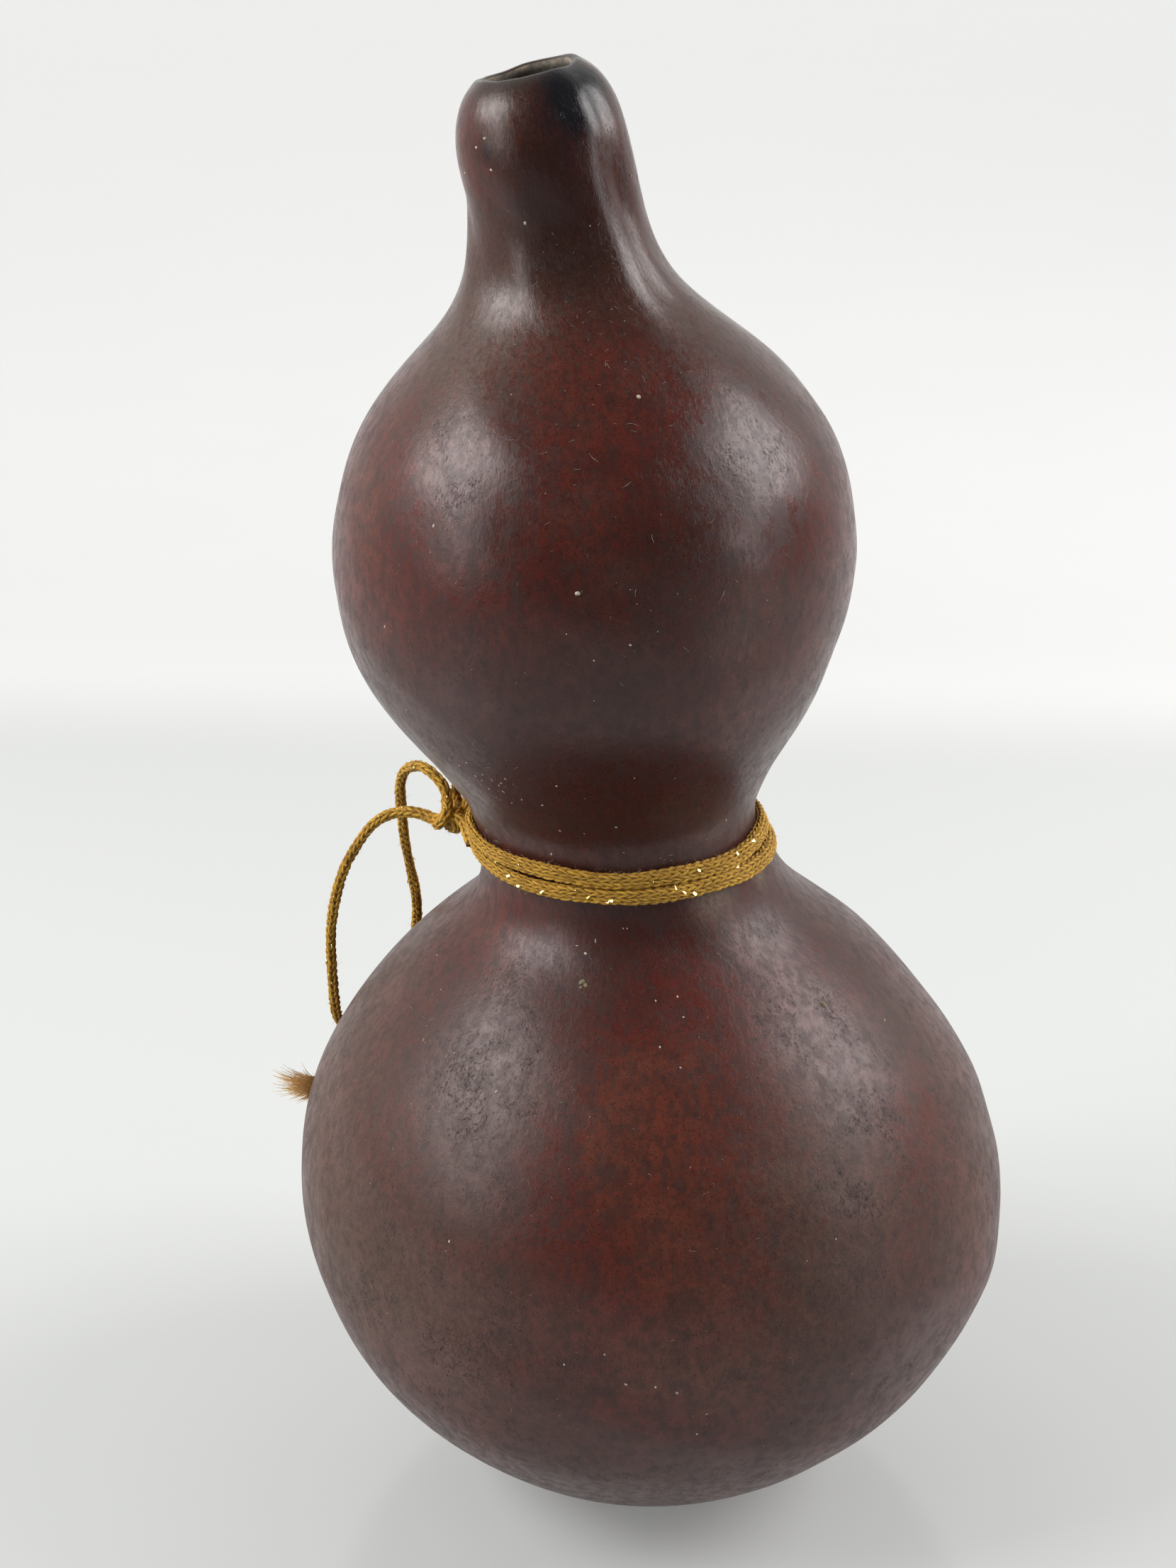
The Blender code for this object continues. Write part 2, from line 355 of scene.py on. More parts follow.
# Lights, by azimuth and elevation in degrees, distance, width and height, and share of power, and their aim
LIGHT_AIM = (-5.0, 0.0, 120.0)
LIGHT_TINT = (1.0, 0.965, 0.955)
LIGHTS = (
    ("left_window", -168.0, 36.0, 1000.0, (640.0, 450.0), 0.88),
    ("left_low", -150.0, 14.0, 1000.0, (420.0, 300.0), 0.15),
    ("right_window", 5.0, 33.0, 1000.0, (620.0, 540.0), 0.90),
    ("right_low", -22.0, 9.0, 1000.0, (260.0, 380.0), 0.15),
)
# Half the floor's width, the depths between which the backdrop's colour sets in, and how that line turns
FLOOR_HALF = 6000.0
BACKDROP_FROM = 330.0
BACKDROP_FULL = 420.0
BACKDROP_TURN = 0.06
# Depth from which the extra light behind grows, and the share that is still missing after each millimetre
GLOW_FROM = 450.0
GLOW_FADE = 0.99762
# Even light: its colour, the side on which it is dim, its share there, and its strength as the camera sees it
SURROUND_TINT = (0.97, 0.97, 0.94)
DIM_SIDE = (0.28, -0.90, 0.33)
DIM_SHARE = 0.08
SEEN_SURROUND = 0.88

# Specks on the rind's front, by photograph pixel: place, length and width in millimetres
SPECKS = (
    ((684, 195), 0.75, 0.5),
    ((672, 208), 0.7, 0.5),
    ((693, 240), 0.65, 0.45),
    ((656, 244), 0.6, 0.4),
    ((741, 315), 0.65, 0.55),
    ((815, 837), 0.95, 0.8),
    ((889, 910), 0.5, 0.4),
    ((838, 932), 0.4, 0.3),
    ((543, 884), 0.7, 0.4),
    ((956, 1406), 0.5, 0.4),
    ((964, 1435), 0.5, 0.3),
    ((931, 1477), 0.5, 0.35),
    ((960, 1506), 0.45, 0.3),
    ((883, 1953), 0.6, 0.45),
    ((925, 1957), 0.6, 0.4),
    ((955, 1965), 0.6, 0.5),
    ((853, 1911), 0.45, 0.35),
    ((796, 1925), 0.5, 0.4),
    ((785, 1109), 0.45, 0.35),
    ((765, 1136), 0.5, 0.35),
    ((790, 1172), 0.55, 0.4),
    ((869, 1167), 0.55, 0.4),
    ((778, 1205), 0.5, 0.4),
    ((1024, 1157), 0.45, 0.35),
    ((1248, 1439), 0.7, 0.3),
    ((925, 1412), 0.5, 0.3),
    ((826, 1345), 0.6, 0.5),
    ((814, 1334), 0.7, 0.2),
    ((840, 1327), 0.9, 0.2),
    ((700, 1540), 0.6, 0.5),
    ((634, 1751), 0.7, 0.5),
    ((648, 1080), 0.55, 0.3),
    ((658, 1076), 0.5, 0.3),
    ((634, 1072), 0.4, 0.2),
    ((671, 1095), 0.6, 0.2),
    ((681, 1093), 0.55, 0.35),
    ((680, 1101), 0.4, 0.3),
    ((694, 1101), 0.6, 0.25),
    ((707, 1105), 0.4, 0.3),
    ((704, 1108), 0.4, 0.3),
    ((690, 1113), 0.6, 0.3),
    ((710, 1117), 0.7, 0.22),
    ((713, 1099), 0.6, 0.25),
    ((736, 1128), 0.4, 0.35),
    ((722, 1133), 0.5, 0.2),
    ((664, 627), 0.5, 0.3),
    ((901, 560), 0.8, 0.7),
    ((612, 742), 0.7, 0.5),
)
# Boxes of the photograph in which lint lies on the rind: left, top, right, bottom, threads
LINT = (
    (676, 1168, 690, 1184, 16),
    (688, 1182, 706, 1198, 22),
    (700, 1196, 722, 1212, 30),
    (730, 1214, 790, 1230, 34),
    (790, 1226, 930, 1233, 30),
    (930, 1205, 1040, 1232, 24),
    (610, 1040, 740, 1130, 30),
    (560, 1380, 620, 1470, 24),
    (700, 300, 1000, 560, 60),
    (520, 540, 1150, 980, 70),
    (420, 1330, 1340, 2050, 70),
)

# Crusty lumps stuck on the rind, laid out as the specks are
CRUSTS = (
    ((821, 1385), 1.2, 1.0),
    ((826, 1390), 1.0, 0.8),
    ((819, 1393), 0.8, 0.6),
    ((1162, 1417), 1.3, 1.1),
    ((1158, 1414), 0.6, 0.5),
    ((818, 1388), 0.5, 0.4),
    ((598, 1467), 0.9, 0.7),
    ((600, 1470), 0.5, 0.4),
    ((890, 247), 0.9, 0.6),
)

# What shows on the rind's front, by photograph pixel: kind, place, radius in millimetres, strength
BRUSHES = (
    ("ruddy", (1300, 1620), 20.0, 0.6),
    ("ruddy", (530, 800), 16.0, 0.9),
    ("ruddy", (500, 690), 12.0, 0.5),
    ("ruddy", (820, 700), 14.0, 0.5),
    ("ruddy", (800, 560), 10.0, 0.3),
    ("ruddy", (670, 235), 5.0, 0.15),
    ("ruddy", (700, 290), 5.0, 0.3),
    ("ruddy", (698, 1311), 9.0, 0.8),
    ("ruddy", (905, 1560), 16.0, 1.0),
    ("ruddy", (940, 1720), 18.0, 0.9),
    ("ruddy", (960, 1900), 20.0, 0.9),
    ("ruddy", (860, 1600), 12.0, 0.4),
    ("ruddy", (1311, 1598), 9.0, 0.8),
    ("dark", (765, 210), 7.0, 0.85),
    ("dark", (785, 280), 8.0, 0.8),
    ("dark", (800, 350), 9.0, 0.7),
    ("dark", (850, 380), 8.0, 0.5),
    ("dark", (740, 320), 10.0, 0.4),
    ("dark", (700, 130), 4.5, 0.5),
    ("dark", (740, 120), 4.5, 0.6),
    ("dark", (687, 212), 2.2, 0.9),
    ("dark", (830, 1030), 22.0, 0.5),
    ("dark", (870, 1310), 12.0, 0.6),
    ("dark", (620, 1450), 12.0, 0.3),
    ("dark", (660, 960), 12.0, 0.3),
    ("dark", (1190, 1800), 14.0, 0.3),
    ("dark", (960, 840), 14.0, 0.3),
    ("dusty", (706, 156), 4.0, 0.7),
    ("dusty", (660, 330), 5.0, 0.5),
    ("dusty", (480, 1500), 20.0, 0.5),
    ("dusty", (450, 1700), 22.0, 0.6),
    ("dusty", (560, 1340), 12.0, 0.5),
    ("dusty", (1005, 1264), 3.6, 2.2),
    ("dusty", (1072, 1235), 1.8, 2.0),
    ("dusty", (690, 490), 14.0, 0.5),
    ("dusty", (640, 500), 12.0, 0.5),
    ("dusty", (960, 430), 12.0, 0.5),
    ("dusty", (1340, 1500), 14.0, 0.4),
    ("dusty", (1370, 1700), 14.0, 0.4),
    ("dusty", (1180, 1680), 20.0, 0.6),
    ("dusty", (1080, 1900), 16.0, 0.3),
    ("dusty", (600, 1850), 22.0, 0.5),
    ("dusty", (720, 1540), 14.0, 0.35),
    ("stained", (805, 138), 6.0, 0.95),
    ("stained", (795, 108), 3.5, 0.7),
    ("stained", (838, 112), 5.0, 0.8),
    ("stained", (812, 172), 4.0, 0.45),
    ("stained", (686, 212), 1.6, 0.5),
    ("pitted", (655, 620), 12.0, 1.0),
    ("pitted", (1065, 640), 14.0, 1.2),
    ("pitted", (730, 390), 8.0, 0.8),
    ("pitted", (1040, 830), 14.0, 1.0),
    ("pitted", (720, 1520), 16.0, 0.8),
    ("pitted", (1180, 1640), 22.0, 1.3),
    ("pitted", (620, 1900), 20.0, 1.0),
)


def smooth_step(value):
    """0 below 0, 1 above 1, and a soft rise between."""
    held = np.clip(value, 0.0, 1.0)
    return held * held * (3 - 2 * held)


def unit(vectors):
    """Vectors made one long."""
    return vectors / np.maximum(np.linalg.norm(vectors, axis=-1, keepdims=True), 1e-12)


def spline(points, count):
    """Count points, evenly spaced, on the natural cubic curve through the given points."""
    knots = np.array(points, float)
    steps = np.linalg.norm(np.diff(knots, axis=0), axis=1)
    at = np.concatenate([[0.0], np.cumsum(steps)])
    size = len(knots)
    system = np.eye(size)
    right = np.zeros_like(knots)
    slopes = np.diff(knots, axis=0) / steps[:, None]
    for i in range(1, size - 1):
        system[i, i - 1 : i + 2] = steps[i - 1], 2 * (steps[i - 1] + steps[i]), steps[i]
        right[i] = 6 * (slopes[i] - slopes[i - 1])
    bend = np.linalg.solve(system, right)

    def curve(where):
        span = np.clip(np.searchsorted(at, where) - 1, 0, size - 2)
        step = steps[span][:, None]
        along = (where - at[span])[:, None]
        first, second = bend[span], bend[span + 1]
        lean = slopes[span] - step * (2 * first + second) / 6
        return knots[span] + along * lean + along**2 * first / 2 + along**3 * (second - first) / (6 * step)

    fine = curve(np.linspace(0.0, at[-1], 40 * size))
    run = run_along(fine)
    places = np.interp(np.linspace(0.0, run[-1], count), run, np.linspace(0.0, at[-1], 40 * size))
    return curve(places)


def run_along(points):
    """Distance along a line of points, from its first."""
    return np.concatenate([[0.0], np.cumsum(np.linalg.norm(np.diff(points, axis=0), axis=1))])


MIDDLE_SAMPLES = spline(MIDDLE_LINE, 200)
PROFILE_SAMPLES = spline(PROFILE, 400)


def middle(height):
    """Sideways place of the gourd's middle line at a height."""
    return np.interp(height, MIDDLE_SAMPLES[:, 0], MIDDLE_SAMPLES[:, 1])


def skin_radius(height):
    """Outside radius of the gourd at a height."""
    return np.interp(height, PROFILE_SAMPLES[:, 0], PROFILE_SAMPLES[:, 1])


def sight(pixel):
    """The camera's place and the direction it sees a photograph pixel in."""
    across = (pixel[0] - PHOTO_WIDTH / 2) / FOCAL_PIXELS
    up = (PHOTO_HEIGHT / 2 - pixel[1]) / FOCAL_PIXELS
    ray = Vector((across, up, -1.0))
    ray.rotate(Euler((math.pi / 2 - CAMERA_PITCH, 0.0, 0.0)))
    return Vector(CAMERA_PLACE), ray.normalized()


def seen_on(tree, pixel):
    """Where a photograph pixel falls on a surface, with the surface's direction there, or None."""
    place, normal, _, _ = tree.ray_cast(*sight(pixel))
    return None if place is None else (np.array(place), np.array(normal))


def grid_faces(rows, columns):
    """Quads between the rings of a tube whose points are stored ring by ring."""
    low = np.arange(rows - 1)[:, None] * columns
    here = np.arange(columns)[None, :]
    after = (here + 1) % columns
    return np.stack([low + here, low + after, low + columns + after, low + columns + here], -1).reshape(-1, 4)


def end_faces(rows, columns):
    """The two faces that close a tube's ends."""
    first = list(range(columns))
    last = list(range((rows - 1) * columns, rows * columns))
    return [first[::-1], last]


def add_mesh(name, points, faces, finishes, numbers=None, slots=None):
    """Puts a smooth mesh in the scene from points in millimetres, with its finishes and point numbers."""
    mesh = bpy.data.meshes.new(name)
    mesh.from_pydata((np.asarray(points) * MM).tolist(), [], faces)
    for finish in finishes:
        mesh.materials.append(finish)
    if slots is not None:
        mesh.polygons.foreach_set("material_index", slots)
    for key, values in (numbers or {}).items():
        values = np.asarray(values, np.float32)
        if values.ndim == 2:
            mesh.attributes.new(key, "FLOAT_VECTOR", "POINT").data.foreach_set("vector", values.ravel())
        else:
            mesh.attributes.new(key, "FLOAT", "POINT").data.foreach_set("value", values)
    mesh.shade_smooth()
    mesh.update()
    piece = bpy.data.objects.new(name, mesh)
    bpy.context.scene.collection.objects.link(piece)
    return piece


def surface_tree(piece):
    """A search tree of a piece's surface, in millimetres."""
    points = [vert.co / MM for vert in piece.data.vertices]
    return BVHTree.FromPolygons(points, [tuple(face.vertices) for face in piece.data.polygons])


def colour(value):
    """A colour property as a socket takes it."""
    return (*value, 1.0)


class Finish:
    """One procedural material, built node by node."""

    def __init__(self, name):
        self.material = bpy.data.materials.new(name)
        self.material.use_nodes = True
        self.tree = self.material.node_tree
        self.shader = self.tree.nodes["Principled BSDF"]

    def fill(self, made, sockets):
        """Gives each socket its value, or links it."""
        for key, value in sockets.items():
            if isinstance(value, bpy.types.NodeSocket):
                self.tree.links.new(value, made.inputs[key])
            else:
                made.inputs[key].default_value = value

    def add(self, kind, sockets, output=0, **settings):
        """Adds a node and returns one of its outputs."""
        made = self.tree.nodes.new(kind)
        for key, value in settings.items():
            setattr(made, key, value)
        self.fill(made, sockets)
        return made.outputs[output]

    def number(self, name, output="Fac"):
        """A number or a vector that the mesh holds at each point."""
        return self.add("ShaderNodeAttribute", {}, output, attribute_name=name)

    def place(self):
        """The place on the object, in millimetres."""
        here = self.add("ShaderNodeTexCoord", {}, "Object")
        return self.add("ShaderNodeVectorMath", {0: here, 1: (1 / MM,) * 3}, operation="MULTIPLY")

    def noise(self, place, size, detail=3.0, rough=0.5, shift=0.0):
        """Noise from about 0 to 1 with features of the given size, which may differ along each axis."""
        sizes = size if isinstance(size, tuple) else (size,) * 3
        scaled = self.add(
            "ShaderNodeVectorMath",
            {0: place, 1: tuple(1 / value for value in sizes), 2: (shift,) * 3},
            operation="MULTIPLY_ADD",
        )
        sockets = {"Vector": scaled, "Scale": 1.0, "Detail": detail, "Roughness": rough}
        return self.add("ShaderNodeTexNoise", sockets)

    def ramp(self, value, low, high, start=0.0, end=1.0):
        """A soft rise from start to end as the value goes from low to high."""
        flipped = low > high
        ends = (high, low, end, start) if flipped else (low, high, start, end)
        sockets = dict(zip(("From Min", "From Max", "To Min", "To Max"), ends))
        return self.add("ShaderNodeMapRange", {"Value": value, **sockets}, interpolation_type="SMOOTHSTEP")

    def sum(self, operation, first, second=0.0):
        """One arithmetic step."""
        return self.add("ShaderNodeMath", {0: first, 1: second}, operation=operation)

    def mix(self, share, first, second):
        """Two colours mixed."""
        return self.add("ShaderNodeMix", {0: share, 6: first, 7: second}, 2, data_type="RGBA")

    def laid(self, ground, coats):
        """A ground colour with coats over it, each a share and a colour."""
        shown = colour(ground)
        for share, tint in coats:
            shown = self.mix(share, shown, colour(tint))
        return shown

    def bump(self, height, depth, under=None):
        """Relief of the given depth in millimetres, on top of other relief."""
        sockets = {"Height": height, "Distance": depth * MM, "Strength": 1.0}
        if under is not None:
            sockets["Normal"] = under
        return self.add("ShaderNodeBump", sockets, "Normal")


class RindPatterns:
    """Patterns of the skin, from broad patches to its grain, for its colour, its gloss and its relief."""

    def __init__(self, made):
        here = made.place()
        grown = made.number("growth", "Vector")
        self.broad = made.noise(here, 32.0, 3.0)
        self.patch = made.noise(here, 10.0, 6.0, 0.62, 7.3)
        self.cloud = made.noise(grown, (3.4, 3.4, 4.6), 8.0, 0.7, 3.1)
        self.streak = made.noise(grown, (1.2, 1.2, 2.2), 6.0, 0.7, 11.7)
        self.mottle = made.noise(grown, (1.7, 1.7, 2.5), 6.0, 0.62, 17.3)
        self.grain = made.noise(here, 0.17, 2.0, 0.7)
        self.pepper = made.noise(here, 0.32, 3.0, 0.6, 41.0)
        clusters = made.ramp(made.noise(here, 9.0, 5.0, 0.6, 21.0), 0.40, 0.62, 0.25, 0.85)
        clusters = made.sum("ADD", clusters, made.sum("MULTIPLY", made.number("pitted"), 0.25))
        fine = made.noise(grown, (0.42, 0.42, 0.85), 4.0, 0.7, 5.9)
        self.flecks = made.sum("MULTIPLY", made.ramp(fine, 0.57, 0.66), clusters)
        line = made.sum("SUBTRACT", made.noise(grown, (1.1, 1.1, 2.3), 4.0, 0.66, 9.4), 0.5)
        line = made.ramp(made.sum("ABSOLUTE", line), 0.03, 0.006)
        self.lines = made.sum("MULTIPLY", line, made.ramp(clusters, 0.55, 1.2))
        film = made.ramp(made.noise(here, 15.0, 5.0, 0.6, 33.0), 0.45, 0.8, 0.0, 0.3)
        film = made.sum("ADD", film, made.number("dusty"))
        rubbed = made.ramp(made.noise(here, 1.0, 5.0, 0.7, 9.0), 0.3, 0.7, 0.3, 1.0)
        self.film = made.sum("MULTIPLY", made.sum("MULTIPLY", film, rubbed), 0.5)


def rind_skin(made, on, settings):
    """Colour of the skin: brown, with its patterns, its dust, its grime and its stain laid over it."""
    ruddy = made.sum("ADD", made.ramp(on.broad, 0.4, 0.66, -0.1, 0.5), made.number("ruddy"))
    ruddy = made.sum("ADD", ruddy, made.ramp(on.patch, 0.3, 0.7, -0.3, 0.3))
    dark = made.sum("MULTIPLY", made.number("dark"), made.ramp(on.patch, 0.2, 0.8, 0.5, 1.0))
    grime = made.ramp(made.number("inward"), -5.0, -0.8)
    grime = made.sum("MULTIPLY", grime, made.ramp(on.cloud, 0.3, 0.6, 0.6, 0.95))
    stain = made.sum("ADD", made.number("stained"), made.ramp(on.patch, 0.3, 0.7, -0.15, 0.15))
    stain = made.sum("ADD", stain, made.ramp(on.streak, 0.3, 0.7, -0.12, 0.12))
    coats = (
        (made.ramp(ruddy, 0.0, 0.8), settings.red),
        (made.ramp(ruddy, 0.8, 1.6), settings.orange),
        (made.ramp(on.patch, 0.45, 0.75, 0.0, 0.35), settings.purple),
        (dark, settings.dark),
        (made.ramp(on.cloud, 0.42, 0.68, 0.0, 0.55), settings.dark),
        (made.ramp(on.mottle, 0.46, 0.60, 0.0, 0.5), settings.dark),
        (made.ramp(on.mottle, 0.44, 0.34, 0.0, 0.35), settings.purple),
        (on.film, settings.dust),
        (made.ramp(on.streak, 0.42, 0.72, 0.0, 0.5), settings.dark),
        (made.ramp(on.streak, 0.42, 0.25, 0.0, 0.15), settings.red),
        (made.sum("MULTIPLY", on.lines, 0.75), settings.fleck),
        (made.sum("MULTIPLY", on.flecks, 0.85), settings.fleck),
        (made.ramp(on.grain, 0.5, 0.8, 0.0, 0.16), settings.dust),
        (made.ramp(on.grain, 0.5, 0.25, 0.0, 0.4), settings.dark),
        (made.ramp(on.pepper, 0.56, 0.66, 0.0, 0.7), settings.fleck),
        (grime, settings.rim),
        (made.ramp(stain, 0.0, 1.25, 0.0, 0.97), settings.stain),
    )
    return made.laid(settings.brown, coats)


def rind_roughness(made, on, settings):
    """Roughness of the skin: less where it is handled, more in the flecks and under the film."""
    rough = made.ramp(on.cloud, 0.3, 0.7, settings.roughness - 0.03, settings.roughness + 0.07)
    rough = made.sum("SUBTRACT", rough, made.sum("MULTIPLY", made.number("worn"), 0.155))
    rough = made.sum("ADD", rough, made.ramp(on.mottle, 0.44, 0.60, -0.015, 0.075))
    for pattern, share in ((on.flecks, 0.3), (on.lines, 0.25), (on.film, 0.3)):
        rough = made.sum("ADD", rough, made.sum("MULTIPLY", pattern, share))
    return rough


def rind_relief(made, on):
    """Low relief of the skin's patterns, the broad ones first."""
    relief = made.bump(made.ramp(on.cloud, 0.2, 0.8), 0.022)
    relief = made.bump(made.ramp(on.mottle, 0.60, 0.42), 0.012, relief)
    relief = made.bump(on.streak, 0.012, relief)
    relief = made.bump(made.sum("MULTIPLY", on.lines, -1.0), 0.007, relief)
    relief = made.bump(made.sum("MULTIPLY", on.flecks, -1.0), 0.010, relief)
    return made.bump(on.grain, 0.004, relief)


def rind_finish(settings):
    """Handled gourd rind: mottled red-brown with dark flecks, a dusty film and a satin gloss."""
    made = Finish("handled_rind")
    on = RindPatterns(made)
    made.fill(
        made.shader,
        {
            "Base Color": rind_skin(made, on, settings),
            "Roughness": rind_roughness(made, on, settings),
            "Normal": rind_relief(made, on),
            "Specular IOR Level": 0.34,
        },
    )
    return made.material


def pith_finish(settings):
    """The cut edge and the dry fibrous lining."""
    made = Finish("dry_pith")
    grown = made.number("growth", "Vector")
    inward = made.number("inward")
    fibres = made.noise(grown, (0.9, 0.9, 9.0), 6.0, 0.7)
    crumbs = made.noise(made.place(), 1.4, 6.0, 0.65)
    pale = made.ramp(fibres, 0.3, 0.7, 0.3, 1.0)
    lining = made.mix(pale, colour(settings.pith_dark), colour(settings.pith))
    lining = made.mix(made.ramp(crumbs, 0.45, 0.7, 0.0, 0.6), lining, colour(settings.pith_dark))
    worn = made.mix(made.ramp(crumbs, 0.4, 0.7), colour(settings.lip), colour(settings.pith_dark))
    both = made.mix(made.ramp(inward, 0.2, 0.7), worn, lining)
    both = made.mix(made.ramp(made.number("stained"), 0.3, 1.2, 0.0, 0.5), both, colour(settings.stain))
    relief = made.bump(fibres, 0.12)
    relief = made.bump(crumbs, 0.10, relief)
    made.fill(made.shader, {"Base Color": both, "Roughness": 0.85, "Normal": relief})
    return made.material


def braid_finish(name, settings):
    """Old-gold braid: twisted yarns along each strand, with painted shade in the grooves between the yarns
    and down between the strands.
    """
    made = Finish(name)
    lay = made.number("lay", "Vector")
    rise = made.number("rise")
    here = made.place()
    across = made.tree.nodes.new("ShaderNodeSeparateXYZ")
    made.fill(across, {0: lay})
    wavy = made.sum("ADD", across.outputs[0], made.noise(lay, (2.0, 0.7, 1.0), 3.0, 0.5, 3.0))
    yarns = made.ramp(made.sum("SINE", made.sum("MULTIPLY", wavy, math.tau * 3)), -1.0, 0.3, 0.3, 1.0)
    fibres = made.noise(lay, (0.06, 0.6, 0.5), 5.0, 0.75)
    strand = made.noise(lay, (1.1, 2.2, 0.3), 1.0, 0.5, 4.0)
    tint = made.noise(here, 4.0, 4.0, 0.6)
    coats = (
        (made.ramp(strand, 0.4, 0.6), settings.tan),
        (made.ramp(strand, 0.55, 0.75, 0.0, 0.6), settings.shade),
        (made.ramp(tint, 0.45, 0.7, 0.0, 0.55), settings.shade),
        (made.ramp(fibres, 0.4, 0.7, 0.0, 0.65), settings.shade),
        # Painted shade in the grooves between the yarns
        (made.ramp(yarns, 1.0, 0.0, 0.0, 0.55), settings.shade),
        # Painted shade down between the strands, where the weave is low
        (made.ramp(rise, 0.6, 0.12, 0.0, 0.95), settings.painted_crease_shade),
    )
    relief = made.bump(yarns, 0.06)
    relief = made.bump(fibres, 0.07, relief)
    made.fill(
        made.shader,
        {
            "Base Color": made.laid(settings.gold, coats),
            "Roughness": 0.6,
            "Normal": relief,
            "Specular IOR Level": 0.3,
            "Sheen Weight": 0.15,
            "Sheen Roughness": 0.4,
            "Sheen Tint": (0.95, 0.72, 0.25, 1.0),
        },
    )
    return made.material


def plain_finish(name, base, roughness, metallic=0.0):
    """A small piece's finish, with darker places worked in by noise."""
    made = Finish(name)
    grain = made.noise(made.place(), 0.6, 3.0, 0.6)
    darker = colour(0.6 * value for value in base)
    shown = made.mix(made.ramp(grain, 0.3, 0.7), colour(base), darker)
    made.fill(made.shader, {"Base Color": shown, "Roughness": roughness, "Metallic": metallic})
    return made.material


def thread_finish(name, root, tip):
    """Loose thread: darker at its root, paler at its tip."""
    made = Finish(name)
    near = made.mix(made.ramp(made.noise(made.place(), 0.5), 0.3, 0.7), colour(root), colour(tip))
    shown = made.mix(made.ramp(made.number("along"), 0.3, 1.0, 0.0, 0.8), near, colour(tip))
    made.fill(made.shader, {"Base Color": shown, "Roughness": 0.7, "Sheen Weight": 0.2})
    return made.material


def cord_finishes(name, settings):
    """A cord's own three finishes: braid, the fuzz on it and the metallic threads in it."""
    fuzz = thread_finish(name + "_fuzz", settings.tan, settings.thread_tip)
    return braid_finish(name, settings), fuzz, plain_finish(name + "_glint", settings.glint, 0.22, 1.0)


def unevenness(angle, height):
    """Slow swells of a grown rind, from about -1 to 1: none at the foot, under the cord and at the lip."""
    total = 0.0
    for waves, rate, phase, share in SWELLS:
        total = total + share * np.cos(waves * angle + math.tau * rate * height + phase)
    near_cord = np.exp(-(((height - CORD_CALM[0]) / CORD_CALM[1]) ** 2))
    free = smooth_step((height - FOOT_CALM[0]) / FOOT_CALM[1]) * (1 - near_cord)
    return total * (free * smooth_step((LIP_CALM[0] - height) / LIP_CALM[1]))


def cavity():
    """The cavity's outline from the lip down to its floor: the outside, moved in by the wall."""
    outline = spline(PROFILE, 240)
    run = run_along(outline)
    wall = LIP + (WALL - LIP) * smooth_step((run[-1] - run) / LIP_RUN)
    tangent = unit(np.gradient(outline, axis=0))
    inside = outline + np.stack([tangent[:, 1], -tangent[:, 0]], axis=1) * wall[:, None]
    inside = inside[inside[:, 0] > FLOOR][::-1]
    run = run_along(inside)
    places = np.linspace(0.0, run[-1], INNER_RINGS)
    return np.stack([np.interp(places, run, inside[:, i]) for i in (0, 1)], axis=1)


def lip(outer, inner, onward):
    """The rounded edge from the outside to the cavity."""
    centre = (outer + inner) / 2
    reach = (outer - inner) / 2
    onward = unit(onward) * np.linalg.norm(reach)
    turns = np.linspace(0.0, math.pi, LIP_RINGS + 2)[1:-1, None]
    return centre + reach * np.cos(turns) + onward * np.sin(turns)


def foot():
    """The flat foot from the middle out, hollowed a little round the scar of the flower."""
    radius = np.linspace(FOOT_INNERMOST, PROFILE[0][1], FOOT_RINGS + 1)[:-1]
    hollow = SCAR_DEPTH * smooth_step(1 - radius / SCAR_RADIUS)
    nub = NUB_HEIGHT * np.exp(-((radius / NUB_RADIUS) ** 2))
    return np.stack([np.maximum(hollow - nub, 0.0), radius], axis=1)


def lip_rise(angle):
    """How far the cut lip rises above its slant round the mouth."""
    place = (angle % math.tau) / math.tau * len(LIP_RISE)
    before = np.floor(place).astype(int) % len(LIP_RISE)
    rise = np.array(LIP_RISE)
    share = smooth_step(place % 1.0)
    return rise[before] * (1 - share) + rise[(before + 1) % len(LIP_RISE)] * share


def neck_folds(angle, height):
    """Long shallow folds that run up the neck."""
    total = 0.0
    for azimuth, spread, low, high, rise in NECK_FOLDS:
        turned = (np.degrees(angle) - azimuth + 180.0) % 360.0 - 180.0
        reach = smooth_step((height - low) / 10.0) * smooth_step((high - height) / 10.0)
        total = total + rise * np.exp(-((turned / spread) ** 2)) * reach
    return total


def brushed(points, faces):
    """How strongly the brushes of each kind paint each point of the rind."""
    tree = BVHTree.FromPolygons(points.tolist(), faces)
    painted = {kind: np.zeros(len(points)) for kind in ("ruddy", "dark", "dusty", "stained", "pitted")}
    for kind, pixel, reach, strength in BRUSHES:
        hit = seen_on(tree, pixel)
        if hit is None:
            raise RuntimeError(f"the brush at {pixel} misses the gourd")
        away = np.linalg.norm(points - hit[0], axis=1)
        painted[kind] += strength * np.exp(-((away / reach) ** 2))
    return painted


